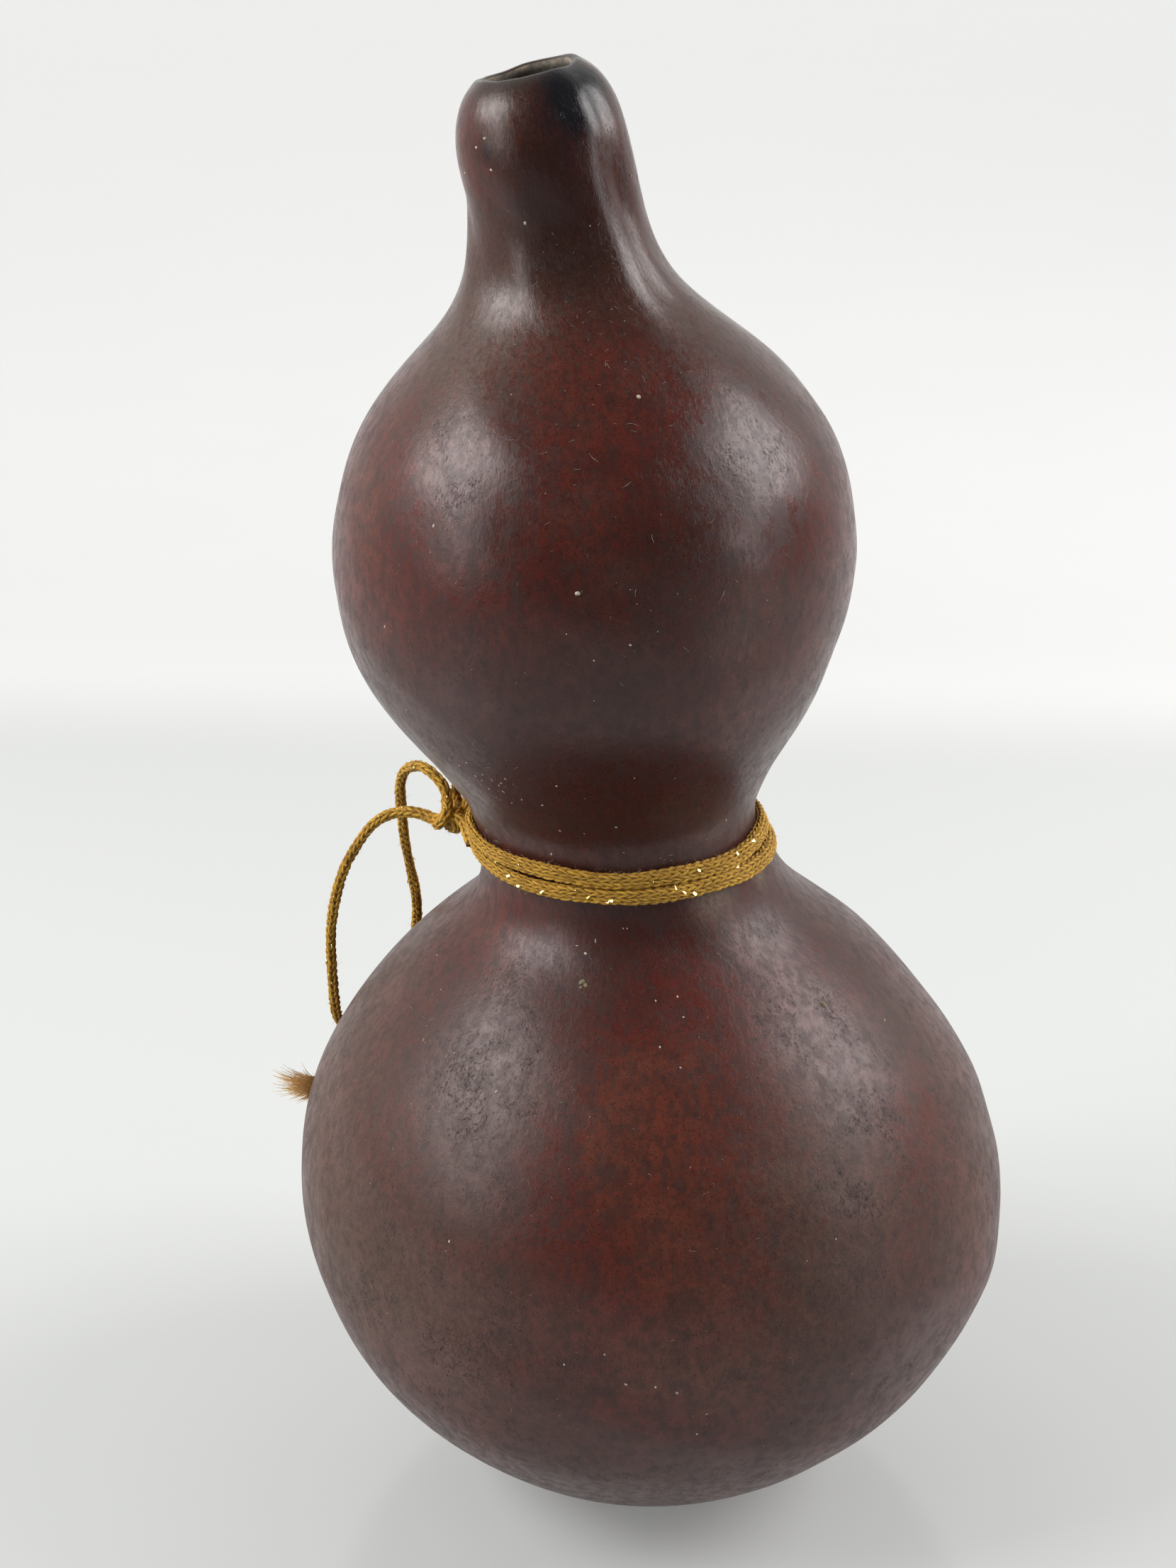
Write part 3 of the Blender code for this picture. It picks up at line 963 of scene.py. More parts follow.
def make_rind(settings):
    """The whole rind: foot, outside, lip and cavity in one mesh."""
    outer = spline(PROFILE, OUTER_RINGS)
    inner = cavity()
    edge = lip(outer[-1], inner[0], outer[-1] - outer[-2])
    outline = np.concatenate([foot(), outer, edge, inner])
    run = run_along(outline)
    lip_row = FOOT_RINGS + OUTER_RINGS + LIP_RINGS // 2
    height, radius = outline[:, :1], outline[:, 1:]
    angle = np.linspace(0.0, math.tau, RIND_SIDES, endpoint=False)[None, :]
    out = radius + settings.swell / MM * unevenness(angle, height) * smooth_step(radius / 10.0)
    out = out + neck_folds(angle, height) * (run[:, None] <= run[lip_row])
    slant = math.tan(MOUTH_SLANT) * smooth_step((height - SLANT_FROM) / (SLANT_FULL - SLANT_FROM))
    near_lip = smooth_step((height - LIP_RISE_FROM) / LIP_RISE_REACH)
    level = height + slant * out * np.cos(angle) + near_lip * lip_rise(angle)
    points = np.stack([middle(height) + out * np.cos(angle), out * np.sin(angle), level], -1).reshape(-1, 3)
    growth = np.stack(
        [
            np.sqrt(GROWTH_RADIUS * radius) * np.cos(angle),
            np.sqrt(GROWTH_RADIUS * radius) * np.sin(angle),
            run[:, None] + 0 * angle,
        ],
        -1,
    ).reshape(-1, 3)
    inward = np.repeat(run - run[lip_row], RIND_SIDES)
    quads = grid_faces(len(outline), RIND_SIDES)
    faces = quads.tolist() + end_faces(len(outline), RIND_SIDES)
    slots = np.zeros(len(faces), np.int32)
    slots[lip_row * RIND_SIDES :] = 1
    # The face in the middle of the foot stands after the quads, and is skin too
    slots[-2] = 0
    worn = sum(0.5 * smooth_step((points[:, 2] - start) / rise) for start, rise in POLISHED)
    numbers = {"growth": growth, "inward": inward, "worn": worn, **brushed(points, faces)}
    piece = add_mesh("rind", points, faces, [rind_finish(settings), pith_finish(settings)], numbers, slots)
    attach(piece, "root")
    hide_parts("gourd")
    return piece


def path_axes(path):
    """Two directions square to a path at each point, carried along it without twist."""
    tangent = unit(np.gradient(path, axis=0))
    side = np.zeros_like(path)
    guess = np.array((0.0, 0.0, 1.0)) if abs(tangent[0][2]) < 0.9 else np.array((1.0, 0.0, 0.0))
    for i, ahead in enumerate(tangent):
        guess = guess - ahead * (guess @ ahead)
        guess = guess / np.linalg.norm(guess)
        side[i] = guess
    return side, np.cross(tangent, side)


def section(wide, thick, corner, sides):
    """A rounded flat section as (out, up) pairs, evenly spaced round its edge."""
    turn = np.linspace(0.0, math.tau, 721)
    out = thick / 2 * np.sign(np.cos(turn)) * np.abs(np.cos(turn)) ** (2 / corner)
    up = wide / 2 * np.sign(np.sin(turn)) * np.abs(np.sin(turn)) ** (2 / corner)
    edge = np.stack([out, up], axis=1)
    run = run_along(edge)
    places = np.linspace(0.0, run[-1], sides, endpoint=False)
    return np.stack([np.interp(places, run, edge[:, i]) for i in (0, 1)], axis=1)


def weave(turn, along, strands):
    """A braid at a share of a turn and a count of strands along it: its height from 0 to 1, and its lay.

    The strands that climb to the right and those that climb to the left take turns on top, column by
    column round the cord, so that each pair of columns shows a row of chevrons.
    """
    slip = 0.10 * np.sin(1.7 * along + 5.0 * turn) + 0.08 * np.sin(4.3 * along + math.tau * 2 * turn)
    right = strands * turn + along + slip
    left = strands * turn - along + slip
    over = OVER * np.sin(math.pi * strands * turn + 0.35 * np.sin(0.9 * along))

    def dome(value):
        return np.sqrt(np.maximum(1 - (2 * (value % 1.0) - 1) ** 2, 0.0))

    high_right = dome(right) + over
    high_left = dome(left) - over
    top = high_right > high_left
    number = np.where(top, np.floor(right), 100 - np.floor(left)) + 7 * np.floor(strands * turn)
    fullness = 0.86 + 0.14 * np.sin(12.9898 * number)
    height = np.clip((np.maximum(high_right, high_left) - WEAVE_BOTTOM) / WEAVE_RISE, 0.0, 1.0) * fullness
    lay = np.stack([np.where(top, right, left), np.where(top, left, right), 3.7 * number], -1)
    return height, lay


def hair_shape(roots, ways, bends, lengths, thick, segments=4, sides=3):
    """Tapered bent hairs, one for each root: points, faces and the share along the hair."""
    along = np.linspace(0.0, 1.0, segments + 1)
    steps = along[None, :, None] * lengths[:, None, None]
    centres = roots[:, None] + unit(ways)[:, None] * steps + bends[:, None] * steps * along[None, :, None]
    heading = unit(np.gradient(centres, axis=1))
    square = unit(np.cross(heading, (0.31, 0.52, 0.79)))
    other = np.cross(heading, square)
    radius = (thick / 2 * (1 - 0.75 * along**2))[None, :, None, None]
    turn = np.arange(sides) * math.tau / sides
    ring = np.cos(turn)[:, None] * square[:, :, None] + np.sin(turn)[:, None] * other[:, :, None]
    points = (centres[:, :, None] + radius * ring).reshape(-1, 3)
    one = grid_faces(segments + 1, sides).tolist() + end_faces(segments + 1, sides)
    size = (segments + 1) * sides
    faces = [[corner + size * i for corner in face] for i in range(len(roots)) for face in one]
    return points, faces, np.tile(np.repeat(along, sides), len(roots))


def sliver_shape(places, normals, alongs, lengths, widths):
    """Thin flat slivers, each with its own facing, direction and size: points and faces."""
    out = unit(normals)
    along = unit(alongs - out * (alongs * out).sum(-1, keepdims=True))
    across = np.cross(out, along)
    signs = np.array([(s, t, u) for u in (0, 1) for s, t in ((-1, -1), (1, -1), (1, 1), (-1, 1))])
    sizes = np.stack([lengths / 2, widths / 2, np.full(len(places), GLINT_THICK)], -1)
    axes = np.stack([along, across, out], 1)
    points = places[:, None] + np.einsum("cs,ns,nsx->ncx", signs, sizes, axes)
    box = ((3, 2, 1, 0), (4, 5, 6, 7), (0, 1, 5, 4), (1, 2, 6, 5), (2, 3, 7, 6), (3, 0, 4, 7))
    faces = [[corner + 8 * i for corner in face] for i in range(len(places)) for face in box]
    return points.reshape(-1, 3), faces


def bearing(azimuth, elevation):
    """The direction at an azimuth and an elevation in degrees."""
    turn, lift = math.radians(azimuth), math.radians(elevation)
    return math.cos(turn) * math.cos(lift), math.sin(turn) * math.cos(lift), math.sin(lift)


def to_the_light(place):
    """The facing that sends the nearer window's light from a place to the camera."""
    window = LIGHTS[0] if place[0] < LIGHT_AIM[0] + 4.0 else LIGHTS[2]
    _, azimuth, elevation, away, _, _ = window
    light = unit(np.array(LIGHT_AIM) + away * np.array(bearing(azimuth, elevation)) - place)
    return unit(light + unit(np.array(CAMERA_PLACE) - place))


def braided(name, centres, rings, run, pitch, strands, finishes, settings, glints):
    """A braided cord from its stations' centres and smooth rings, with its fuzz and metallic threads."""
    stations, sides = rings.shape[:2]
    turn = np.arange(sides)[None, :] / sides
    height, lay = weave(turn, run[:, None] / pitch, strands)
    lumps = 1 + 0.03 * np.sin(run / 1.1) * np.sin(run / 2.9 + 1.0) + 0.02 * np.sin(run / 0.6 + 2.0)
    scale = ((1 - settings.relief) + settings.relief * height) * lumps[:, None]
    points = (centres[:, None] + scale[..., None] * (rings - centres[:, None])).reshape(-1, 3)
    faces = grid_faces(stations, sides).tolist() + end_faces(stations, sides)
    out = unit((rings - centres[:, None]).reshape(-1, 3))
    ahead = np.repeat(unit(np.gradient(centres, axis=0)), sides, axis=0)
    draw = np.random.default_rng(len(points))
    full = np.flatnonzero(height.ravel() > FUZZ_FROM)

    count = int(settings.fuzz * run[-1])
    chosen = draw.choice(full, count)
    ways = out[chosen] * draw.uniform(0.15, 0.9, (count, 1)) + draw.normal(0.0, 0.6, (count, 3))
    ways = ways + ahead[chosen] * draw.normal(0.0, 0.7, (count, 1))
    bends = np.clip(draw.normal(0.0, 0.35, (count, 3)), -0.5, 0.5)
    lengths = 0.25 + draw.exponential(0.28, count)
    lengths = np.minimum(lengths, 1.05)
    fuzz, fuzz_faces, along = hair_shape(points[chosen], ways, bends, lengths, FUZZ_THICK)

    chosen = draw.choice(full, glints)
    places = points[chosen] + 0.03 * out[chosen]
    facing = out[chosen] + draw.normal(0.0, 0.35, (glints, 3))
    course = ahead[chosen] + draw.normal(0.0, 0.35, (glints, 3))
    lengths, widths = draw.uniform(0.45, 1.0, glints), draw.uniform(0.22, 0.42, glints)
    slivers, sliver_faces = sliver_shape(places, facing, course, lengths, widths)

    parts = ((points, faces), (fuzz, fuzz_faces), (slivers, sliver_faces))
    starts = np.cumsum([0] + [len(part[0]) for part in parts])
    all_points = np.concatenate([part[0] for part in parts])
    all_faces = []
    for start, part in zip(starts, parts):
        all_faces.extend([corner + start for corner in face] for face in part[1])
    slots = np.repeat(np.arange(len(parts), dtype=np.int32), [len(part[1]) for part in parts])
    rest = len(fuzz) + len(slivers)
    numbers = {
        "rise": np.concatenate([height.ravel(), np.ones(rest)]),
        "lay": np.concatenate([lay.reshape(-1, 3), np.zeros((rest, 3))]),
        "along": np.concatenate([np.zeros(len(points)), along, np.zeros(len(slivers))]),
    }
    return add_mesh(name, all_points, all_faces, finishes, numbers, slots)


def round_cord(name, path, settings, finishes):
    """A free braided cord along a path."""
    side, other = path_axes(path)
    edge = section(CORD_SHOWN, CORD_SHOWN, 2.0, CORD_SIDES)
    rings = path[:, None] + edge[:, :1] * side[:, None] + edge[:, 1:] * other[:, None]
    run = run_along(path)
    glints = int(GLINTS_EACH_MM * run[-1])
    return braided(name, path, rings, run, settings.pitch / MM, FREE_STRANDS, finishes, settings, glints)


def grains(name, places, normals, sizes, finish, draw):
    """Small rough lumps that lie on a surface, each with its own length and width, in one mesh."""
    out = unit(normals)[:, None]
    along = unit(np.cross(normals, draw.normal(0.0, 1.0, (len(places), 3))))[:, None]
    across = np.cross(out, along)
    # Each ring of a lump: its share of the spread, and its height as a share of the thickness
    rings = np.array(((1.0, -0.25), (0.85, 0.35), (0.5, 0.75), (0.08, 0.9)))
    turn = np.tile(np.arange(GRAIN_SIDES) * math.tau / GRAIN_SIDES, len(rings))
    uneven = draw.uniform(0.75, 1.15, (len(places), len(turn)))
    spread = np.repeat(rings[:, 0], GRAIN_SIDES) * uneven
    length, width = sizes[:, :1] / 2, sizes[:, 1:] / 2
    points = places[:, None] + (spread * length * np.cos(turn))[..., None] * along
    points = points + (spread * width * np.sin(turn))[..., None] * across
    points = points + (np.repeat(rings[:, 1], GRAIN_SIDES) * width * 0.6)[..., None] * out
    one = grid_faces(len(rings), GRAIN_SIDES).tolist() + end_faces(len(rings), GRAIN_SIDES)
    faces = [[corner + len(turn) * i for corner in face] for i in range(len(places)) for face in one]
    return add_mesh(name, points.reshape(-1, 3), faces, [finish])


def fine_path(points):
    """A path's points every station step."""
    length = run_along(spline(points, 400))[-1]
    return spline(points, int(length / STATION_STEP) + 2), length


def at_depth(pixel, depth):
    """The place that a photograph pixel shows at a given distance along Y."""
    place, way = sight(pixel)
    return np.array(place + way * ((depth - place.y) / way.y))


class GourdRindSettings(bpy.types.PropertyGroup):
    """Sizes and colours of the rind."""

    swell: FloatProperty(
        name="Swell",
        description="How far the rind's slow swells stand out",
        default=0.32 * MM,
        unit="LENGTH",
    )
    roughness: FloatProperty(name="Roughness", description="Roughness of the handled skin", default=0.32)
    brown: FloatVectorProperty(
        name="Brown",
        description="Ground colour of the skin",
        subtype="COLOR",
        default=(0.068, 0.0155, 0.0112),
    )
    red: FloatVectorProperty(
        name="Red",
        description="Redder parts of the skin",
        subtype="COLOR",
        default=(0.108, 0.0160, 0.0105),
    )
    orange: FloatVectorProperty(
        name="Orange",
        description="Palest, most orange parts",
        subtype="COLOR",
        default=(0.132, 0.029, 0.016),
    )
    purple: FloatVectorProperty(
        name="Purple",
        description="Dull purplish patches",
        subtype="COLOR",
        default=(0.066, 0.0250, 0.0185),
    )
    dark: FloatVectorProperty(
        name="Dark",
        description="Darkest parts of the skin",
        subtype="COLOR",
        default=(0.028, 0.0098, 0.0083),
    )
    fleck: FloatVectorProperty(
        name="Fleck",
        description="Small dark flecks and pits",
        subtype="COLOR",
        default=(0.013, 0.009, 0.009),
    )
    dust: FloatVectorProperty(
        name="Dust",
        description="Thin dusty film",
        subtype="COLOR",
        default=(0.168, 0.125, 0.088),
    )
    speck: FloatVectorProperty(
        name="Speck",
        description="Cream specks stuck on the skin",
        subtype="COLOR",
        default=(0.52, 0.45, 0.36),
    )
    crust: FloatVectorProperty(
        name="Crust",
        description="Dry crusty lumps",
        subtype="COLOR",
        default=(0.24, 0.205, 0.12),
    )
    lint: FloatVectorProperty(
        name="Lint",
        description="Threads of lint on the skin",
        subtype="COLOR",
        default=(0.22, 0.19, 0.17),
    )
    specks: IntProperty(name="Specks", description="Tiny specks all over the outside", default=420)
    stain: FloatVectorProperty(
        name="Stain",
        description="Blue-black stain on the lip",
        subtype="COLOR",
        default=(0.008, 0.009, 0.012),
    )
    pith: FloatVectorProperty(
        name="Pith",
        description="Dry fibres inside the mouth",
        subtype="COLOR",
        default=(0.27, 0.245, 0.20),
    )
    pith_dark: FloatVectorProperty(
        name="Dark pith",
        description="Dark parts of the lining",
        subtype="COLOR",
        default=(0.09, 0.08, 0.065),
    )
    rim: FloatVectorProperty(
        name="Rim",
        description="Grime on the skin just below the mouth",
        subtype="COLOR",
        default=(0.040, 0.032, 0.026),
    )
    lip: FloatVectorProperty(
        name="Lip",
        description="Worn edge of the cut lip",
        subtype="COLOR",
        default=(0.27, 0.225, 0.17),
    )


class GourdCordSettings(bpy.types.PropertyGroup):
    """Sizes and colours of the cord."""

    pitch: FloatProperty(
        name="Pitch",
        description="Length of cord from each strand to the next",
        default=1.6 * MM,
        unit="LENGTH",
    )
    relief: FloatProperty(
        name="Relief",
        description="Depth between strands, as a share of the cord",
        default=0.42,
    )
    gold: FloatVectorProperty(
        name="Gold",
        description="Bright thread",
        subtype="COLOR",
        default=(0.84, 0.49, 0.055),
    )
    tan: FloatVectorProperty(
        name="Tan",
        description="Duller thread",
        subtype="COLOR",
        default=(0.64, 0.34, 0.040),
    )
    # Dull brown of worn thread, and also the painted shade in the grooves between the yarns
    shade: FloatVectorProperty(
        name="Shade",
        description="Dull brown of worn thread",
        subtype="COLOR",
        default=(0.34, 0.17, 0.020),
    )
    # Painted shade down between the strands
    painted_crease_shade: FloatVectorProperty(
        name="Deep",
        description="Down between the strands",
        subtype="COLOR",
        default=(0.085, 0.036, 0.005),
    )
    glint: FloatVectorProperty(
        name="Glint",
        description="Metallic thread",
        subtype="COLOR",
        default=(0.95, 0.75, 0.26),
    )
    thread: FloatVectorProperty(
        name="Thread",
        description="Frayed thread",
        subtype="COLOR",
        default=(0.68, 0.35, 0.07),
    )
    thread_tip: FloatVectorProperty(
        name="Thread tip",
        description="Ends of frayed thread",
        subtype="COLOR",
        default=(0.70, 0.47, 0.19),
    )
    fray_threads: IntProperty(name="Threads", description="Threads in each frayed end", default=560)
    fuzz: FloatProperty(name="Fuzz", description="Short fibres to each millimetre of cord", default=5.0)


class GourdStageSettings(bpy.types.PropertyGroup):
    """The floor and the light."""

    floor: FloatVectorProperty(
        name="Floor",
        description="Floor colour near the gourd",
        subtype="COLOR",
        default=(0.49, 0.514, 0.507),
    )
    backdrop: FloatVectorProperty(
        name="Backdrop",
        description="Floor colour far behind",
        subtype="COLOR",
        default=(0.65, 0.662, 0.662),
    )
    floor_glow: FloatProperty(name="Floor glow", description="Light that fills the shadows", default=0.165)
    backdrop_glow: FloatProperty(name="Backdrop glow", description="Extra light far behind", default=0.27)
    surround: FloatProperty(name="Surround", description="Strength of the even light", default=0.95)
    left: FloatProperty(name="Left light", description="Power of the left windows", default=10.6)
    right: FloatProperty(name="Right light", description="Power of the right windows", default=10.4)


class GOURD_OT_camera(bpy.types.Operator):
    """Adds the camera at the photograph's viewing angle"""

    bl_idname = "gourd.camera"
    bl_label = "Camera"

    def execute(self, context):
        data = bpy.data.cameras.new("camera")
        data.sensor_width = SENSOR
        data.lens = SENSOR * FOCAL_PIXELS / PHOTO_HEIGHT
        data.clip_start = 0.01
        camera = bpy.data.objects.new("camera", data)
        camera.location = Vector(CAMERA_PLACE) * MM
        camera.rotation_euler = (math.pi / 2 - CAMERA_PITCH, 0.0, 0.0)
        context.scene.collection.objects.link(camera)
        context.scene.camera = camera
        return {"FINISHED"}


class GOURD_OT_stage(bpy.types.Operator):
    """Adds the pale floor, the four soft lights and the even light all round"""

    bl_idname = "gourd.stage"
    bl_label = "Stage"

    def execute(self, context):
        settings = context.scene.gourd_stage
        context.scene.view_settings.view_transform = "Standard"
        corners = [(-FLOOR_HALF, -FLOOR_HALF, 0), (FLOOR_HALF, -FLOOR_HALF, 0)]
        corners += [(FLOOR_HALF, FLOOR_HALF, 0), (-FLOOR_HALF, FLOOR_HALF, 0)]
        floor = add_mesh("floor", corners, [(0, 1, 2, 3)], [self.floor_finish(settings)])
        for name, azimuth, elevation, away, size, share in LIGHTS:
            power = settings.left if name.startswith("left") else settings.right
            self.add_light(name, azimuth, elevation, away, size, share * power)
        context.scene.world = self.surround(settings)
        return {"FINISHED"}

    def floor_finish(self, settings):
        """Smooth pale floor that turns into a brighter backdrop far behind the gourd. It glows: painted light
        that fills the shadows near the gourd, and a stronger glow far behind.
        """
        made = Finish("pale_floor")
        split = made.tree.nodes.new("ShaderNodeSeparateXYZ")
        made.fill(split, {0: made.place()})
        behind = made.sum("ADD", split.outputs[1], made.sum("MULTIPLY", split.outputs[0], BACKDROP_TURN))
        cloud = made.ramp(made.noise(made.place(), 90.0, 3.0), 0.3, 0.7, 0.0, 0.06)
        far = made.ramp(behind, BACKDROP_FROM, BACKDROP_FULL)
        shade = made.mix(far, colour(settings.floor), colour(settings.backdrop))
        shade = made.mix(cloud, shade, (0.5, 0.52, 0.54, 1.0))
        # Painted light: the floor's glow, faint near the gourd to lift its shadows, stronger far behind
        past = made.sum("MAXIMUM", made.sum("SUBTRACT", behind, GLOW_FROM), 0.0)
        faded = made.sum("SUBTRACT", 1.0, made.sum("POWER", GLOW_FADE, past))
        glow = made.sum("MULTIPLY_ADD", faded, settings.backdrop_glow)
        glow.node.inputs[2].default_value = settings.floor_glow
        gloss = made.ramp(behind, 250.0, 520.0, 0.14, 0.36)
        made.fill(
            made.shader,
            {
                "Base Color": shade,
                "Roughness": gloss,
                "Emission Color": (1.0, 1.0, 1.0, 1.0),
                "Emission Strength": glow,
            },
        )
        return made.material

    def surround(self, settings):
        """Even light all round, dim on the camera's side, and plain where the camera sees it."""
        world = bpy.data.worlds.new("surround")
        world.use_nodes = True
        tree = world.node_tree
        back = tree.nodes["Background"]
        coordinates = tree.nodes.new("ShaderNodeTexCoord")
        towards = tree.nodes.new("ShaderNodeVectorMath")
        towards.operation = "DOT_PRODUCT"
        towards.inputs[1].default_value = DIM_SIDE
        dim = tree.nodes.new("ShaderNodeMapRange")
        dim.interpolation_type = "SMOOTHSTEP"
        for key, value in (("From Min", -0.5), ("From Max", 0.45), ("To Min", 1.0), ("To Max", DIM_SHARE)):
            dim.inputs[key].default_value = value
        strength = tree.nodes.new("ShaderNodeMath")
        strength.operation = "MULTIPLY"
        strength.inputs[1].default_value = settings.surround
        seen = tree.nodes.new("ShaderNodeLightPath")
        choose = tree.nodes.new("ShaderNodeMix")
        choose.inputs[3].default_value = SEEN_SURROUND
        link = tree.links.new
        link(coordinates.outputs["Generated"], towards.inputs[0])
        link(towards.outputs["Value"], dim.inputs["Value"])
        link(dim.outputs["Result"], strength.inputs[0])
        link(seen.outputs["Is Camera Ray"], choose.inputs[0])
        link(strength.outputs[0], choose.inputs[2])
        link(choose.outputs[0], back.inputs["Strength"])
        back.inputs["Color"].default_value = colour(SURROUND_TINT)
        return world

    def add_light(self, name, azimuth, elevation, away, size, power):
        """A soft rectangular light that faces the gourd's middle."""
        data = bpy.data.lights.new(name, "AREA")
        data.shape = "RECTANGLE"
        data.size, data.size_y = (MM * value for value in size)
        data.energy = power
        data.color = LIGHT_TINT
        light = bpy.data.objects.new(name, data)
        outwards = Vector(bearing(azimuth, elevation))
        light.location = MM * (Vector(LIGHT_AIM) + away * outwards)
        light.rotation_euler = outwards.to_track_quat("Z", "Y").to_euler()
        bpy.context.scene.collection.objects.link(light)


class GOURD_OT_free_cords(bpy.types.Operator):
    """Adds the bow's two loops and two tails as braided cord"""

    bl_idname = "gourd.free_cords"
    bl_label = "Free cords"

    def execute(self, context):
        settings = context.scene.gourd_cord
        finishes = cord_finishes("free_braid", settings)
        for node, route in ROUTES.items():
            path, length = fine_path(route)
            piece = round_cord("braid_" + node.split("_", 1)[1], path, settings, finishes)
            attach(piece, "root")
            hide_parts(node)
        return {"FINISHED"}


class GOURD_OT_frayed_ends(bpy.types.Operator):
    """Adds the loose threads at the end of each tail"""

    bl_idname = "gourd.frayed_ends"
    bl_label = "Frayed ends"

    def execute(self, context):
        settings = context.scene.gourd_cord
        finish = thread_finish("loose_thread", settings.thread, settings.thread_tip)
        for number, (node, tail, tip, spread) in enumerate(FRAYS):
            draw = np.random.default_rng(40 + number)
            start, before = (np.array(ROUTES[tail][i]) for i in (-1, -2))
            onward = unit(start - before)
            reach = np.array(tip) - start
            length = np.linalg.norm(reach)
            count = settings.fray_threads
            side = unit(np.cross(onward, (0.0, 0.0, 1.0)))
            other = np.cross(onward, side)
            turn = draw.uniform(0.0, math.tau, count)
            share = np.sqrt(draw.uniform(0.0, 1.0, count))
            ring = np.cos(turn)[:, None] * side + np.sin(turn)[:, None] * other
            roots = start - 0.6 * onward + 0.42 * CORD * share[:, None] * ring
            fan = 1.4 * spread * share[:, None] * ring + draw.normal(0.0, 0.35, (count, 3))
            ways = unit(onward * 0.7 * length + 0.8 * fan)
            bends = 0.5 * (unit(reach) - onward) + 0.6 * fan / length + draw.normal(0.0, 0.08, (count, 3))
            lengths = length * draw.uniform(0.66, 1.0, count)
            points, faces, along = hair_shape(roots, ways, bends, lengths, THREAD_THICK, segments=6, sides=4)
            name = "threads" + node.removeprefix("frayed_end")
            piece = add_mesh(name, points, faces, [finish], {"along": along})
            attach(piece, "root")
            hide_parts(node)
        return {"FINISHED"}


class GOURD_OT_waist_turns(bpy.types.Operator):
    """Adds the cord's two flat turns round the waist"""

    bl_idname = "gourd.waist_turns"
    bl_label = "Waist turns"

    def execute(self, context):
        settings = context.scene.gourd_cord
        finishes = cord_finishes("flat_braid", settings)
        edge = section(FLAT_WIDTH, FLAT_THICK, FLAT_CORNER, WAIST_SIDES)
        pitch = settings.pitch / MM
        pieces = []
        for name, height, phase in WAIST_TURNS:
            around = skin_radius(height) + FLAT_THICK / 2
            stations = int(math.tau * around / STATION_STEP)
            start = math.atan2(KNOT[1], KNOT[0] - middle(height))
            angle = start - np.linspace(0.0, math.tau, stations)
            wave = 0.16 * np.cos(3 * angle + phase) + 0.10 * np.cos(7 * angle + 2 * phase)
            centres = self.round_waist(angle, height + wave, 0.0)
            rings = np.stack([self.round_waist(angle, height + wave + up, out) for out, up in edge], 1)
            run = around * np.linspace(0.0, math.tau, stations)
            shape = (centres, rings, run, pitch, WAIST_STRANDS)
            piece = braided("braid_waist_" + name, *shape, finishes, settings, WAIST_GLINTS)
            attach(piece, "root")
            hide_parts("waist_turn_" + name)
            pieces.append(piece)
        self.add_flashes([surface_tree(piece) for piece in pieces], finishes[2])
        return {"FINISHED"}

    def round_waist(self, angle, level, out):
        """Places round the waist at a level, so far out from the middle of the cord's thickness."""
        radius = skin_radius(level) + FLAT_THICK / 2 + out
        return np.stack([middle(level) + radius * np.cos(angle), radius * np.sin(angle), level], -1)

    def add_flashes(self, trees, finish):
        """The metallic threads that catch the light in the photograph."""
        places = []
        for pixel in FLASHES:
            hits = [hit for hit in (seen_on(tree, pixel) for tree in trees) if hit is not None]
            if not hits:
                raise RuntimeError(f"the flash at {pixel} misses the waist turns")
            places.append(min((hit[0] for hit in hits), key=lambda place: place[1]))
        places = np.array(places)
        facing = np.array([to_the_light(place) for place in places])
        draw = np.random.default_rng(7)
        course = np.array((1.0, 0.0, 0.0)) + draw.normal(0.0, 0.4, (len(places), 3))
        facing = facing + draw.normal(0.0, 0.09, facing.shape)
        lengths, widths = draw.uniform(0.5, 0.85, len(places)), draw.uniform(0.28, 0.45, len(places))
        points, faces = sliver_shape(places + 0.06 * facing, facing, course, lengths, widths)
        piece = add_mesh("waist_flashes", points, faces, [finish])
        piece.data.shade_flat()
        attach(piece, "root")


class GOURD_OT_knot(bpy.types.Operator):
    """Adds the knot, strand by strand"""

    bl_idname = "gourd.knot"
    bl_label = "Knot"

    def execute(self, context):
        settings = context.scene.gourd_cord
        finishes = cord_finishes("knot_braid", settings)
        for number, strand in enumerate(KNOT_STRANDS):
            path, _ = fine_path([at_depth(pixel, depth) for pixel, depth in strand])
            piece = round_cord(f"knot_strand_{number + 1}", path, settings, finishes)
            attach(piece, "root")
            if number == 0:
                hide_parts("bow_knot")
        return {"FINISHED"}


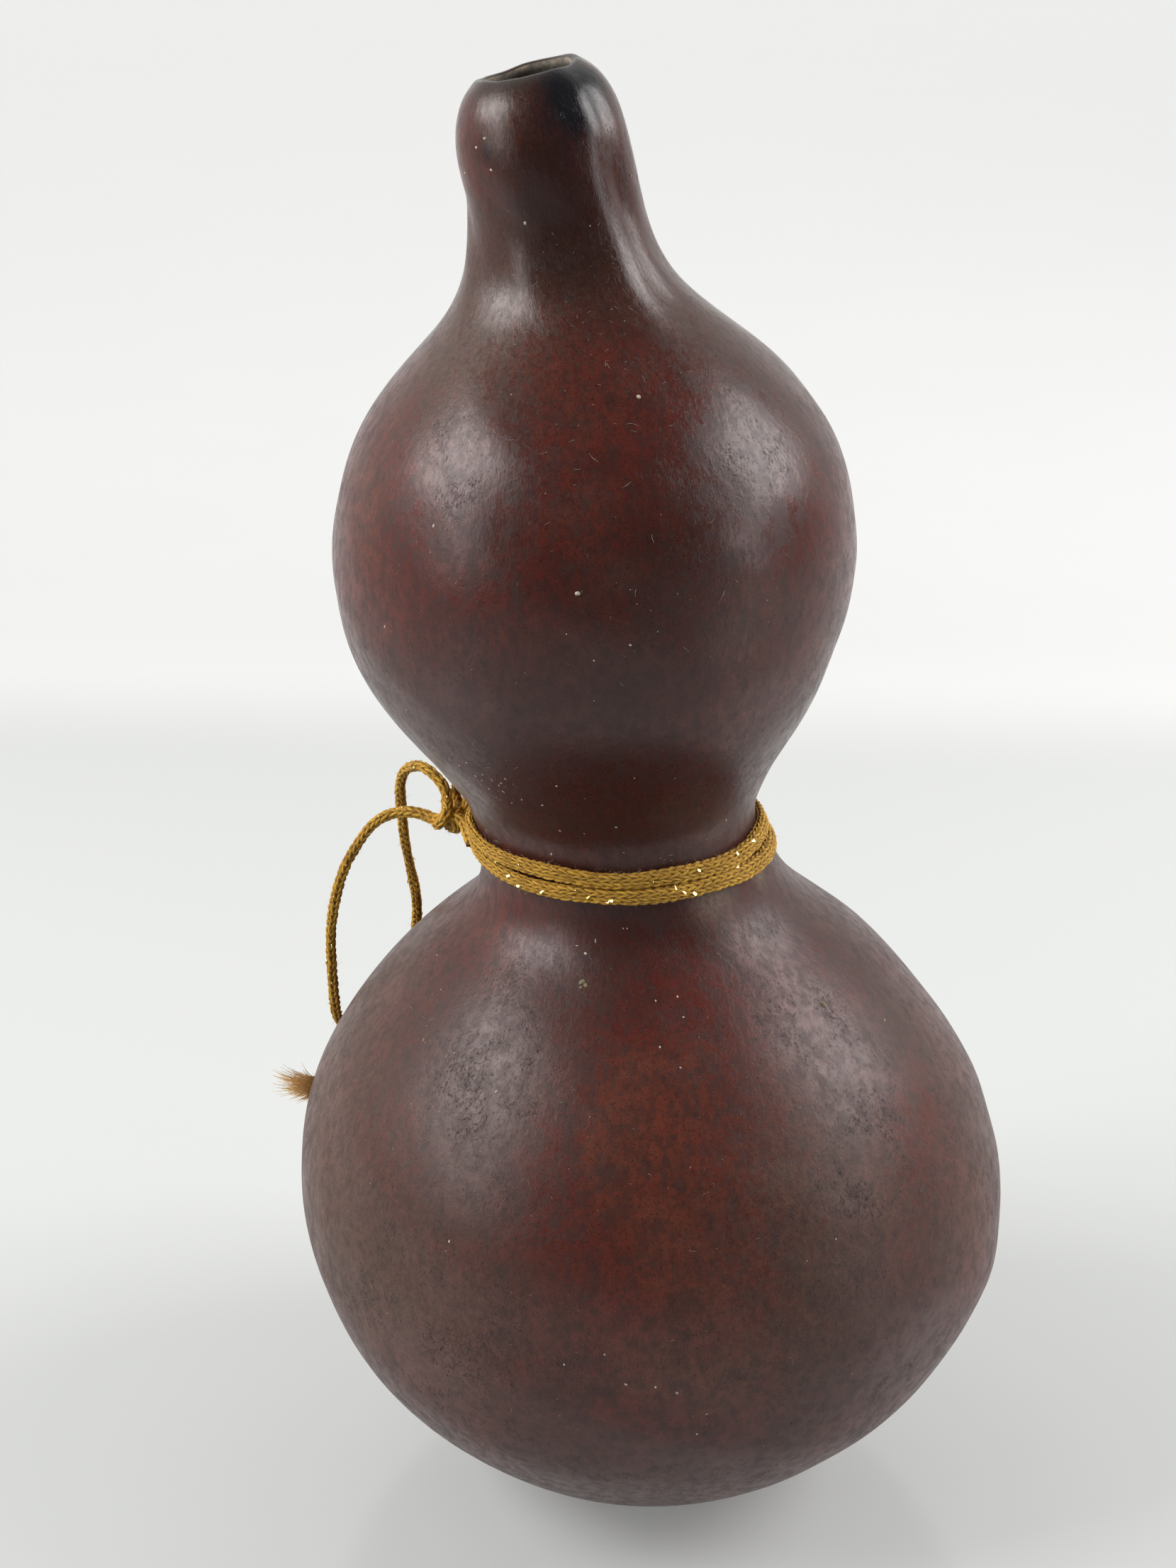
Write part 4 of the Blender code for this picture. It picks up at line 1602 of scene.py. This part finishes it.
class GOURD_OT_rind(bpy.types.Operator):
    """Adds the gourd's rind with its mouth and cavity, and the specks, crusts and lint on it"""

    bl_idname = "gourd.rind"
    bl_label = "Rind"

    def execute(self, context):
        settings = context.scene.gourd_rind
        rind = make_rind(settings)
        tree = surface_tree(rind)
        draw = np.random.default_rng(19)
        self.add_specks(tree, rind, settings, draw)
        self.add_lint(tree, settings, draw)
        return {"FINISHED"}

    def spotted(self, tree, spots):
        """Where spots of the photograph lie on the rind: places, normals and sizes."""
        hits = [seen_on(tree, pixel) for pixel, _, _ in spots]
        if None in hits:
            raise RuntimeError("a speck misses the gourd")
        return [hit[0] for hit in hits], [hit[1] for hit in hits], [spot[1:] for spot in spots]

    def add_specks(self, tree, rind, settings, draw):
        """Cream specks and crusts that the photograph shows, and tiny specks all over the outside."""
        places, normals, sizes = self.spotted(tree, CRUSTS)
        finish = plain_finish("dry_crust", settings.crust, 0.9)
        piece = grains("crusts", np.array(places), np.array(normals), np.array(sizes), finish, draw)
        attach(piece, "root")
        places, normals, sizes = self.spotted(tree, SPECKS)
        outside = np.arange((FOOT_RINGS + 8) * RIND_SIDES, (OUTER_RINGS - 4) * RIND_SIDES)
        for number in draw.choice(outside, settings.specks):
            vert = rind.data.vertices[int(number)]
            places.append(np.array(vert.co) / MM)
            normals.append(np.array(vert.normal))
            long = 0.14 + draw.exponential(0.07)
            sizes.append((long, long * draw.uniform(0.5, 0.9)))
        finish = plain_finish("cream_speck", settings.speck, 0.7)
        piece = grains("specks", np.array(places), np.array(normals), np.array(sizes), finish, draw)
        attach(piece, "root")

    def add_lint(self, tree, settings, draw):
        """Grey and cream lint lying on the rind's front, thickest over the cord."""
        roots, normals = [], []
        for left, top, right, bottom, count in LINT:
            for _ in range(count):
                hit = seen_on(tree, (draw.uniform(left, right), draw.uniform(top, bottom)))
                if hit is not None:
                    roots.append(hit[0])
                    normals.append(hit[1])
        roots, normals = np.array(roots), np.array(normals)
        ways = unit(np.cross(normals, draw.normal(0.0, 1.0, normals.shape)))
        bends = np.cross(normals, ways) * draw.normal(0.0, 0.6, (len(roots), 1)) + 0.10 * normals
        lengths = 0.25 + draw.exponential(0.3, len(roots))
        points, faces, along = hair_shape(roots + 0.03 * normals, ways, bends, lengths, LINT_THICK)
        finish = thread_finish("grey_lint", settings.lint, settings.speck)
        piece = add_mesh("lint", points, faces, [finish], {"along": along})
        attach(piece, "root")


class GOURD_PT_panel(bpy.types.Panel):
    """Lists the gourd's pieces"""

    bl_idname = "GOURD_PT_panel"
    bl_label = "Dried bottle gourd"
    bl_space_type = "VIEW_3D"
    bl_region_type = "UI"
    bl_category = "Gourd"

    def draw(self, context):
        for step in STEPS:
            self.layout.operator(step.bl_idname)
        for group in ("gourd_rind", "gourd_cord", "gourd_stage"):
            settings = getattr(context.scene, group)
            box = self.layout.box()
            for key in settings.__annotations__:
                box.prop(settings, key)


STEPS = (
    GOURD_OT_camera,
    GOURD_OT_free_cords,
    GOURD_OT_frayed_ends,
    GOURD_OT_waist_turns,
    GOURD_OT_knot,
    GOURD_OT_rind,
    GOURD_OT_stage,
)
GROUPS = {
    "gourd_rind": GourdRindSettings,
    "gourd_cord": GourdCordSettings,
    "gourd_stage": GourdStageSettings,
}


def register():
    for made in (*GROUPS.values(), *STEPS, GOURD_PT_panel):
        bpy.utils.register_class(made)
    for name, group in GROUPS.items():
        setattr(bpy.types.Scene, name, PointerProperty(type=group))


def unregister():
    for name in GROUPS:
        delattr(bpy.types.Scene, name)
    for made in (GOURD_PT_panel, *reversed(STEPS), *GROUPS.values()):
        bpy.utils.unregister_class(made)


def main():
    register()
    for step in STEPS:
        group, name = step.bl_idname.split(".")
        getattr(getattr(bpy.ops, group), name)()


if __name__ == "__main__":
    main()
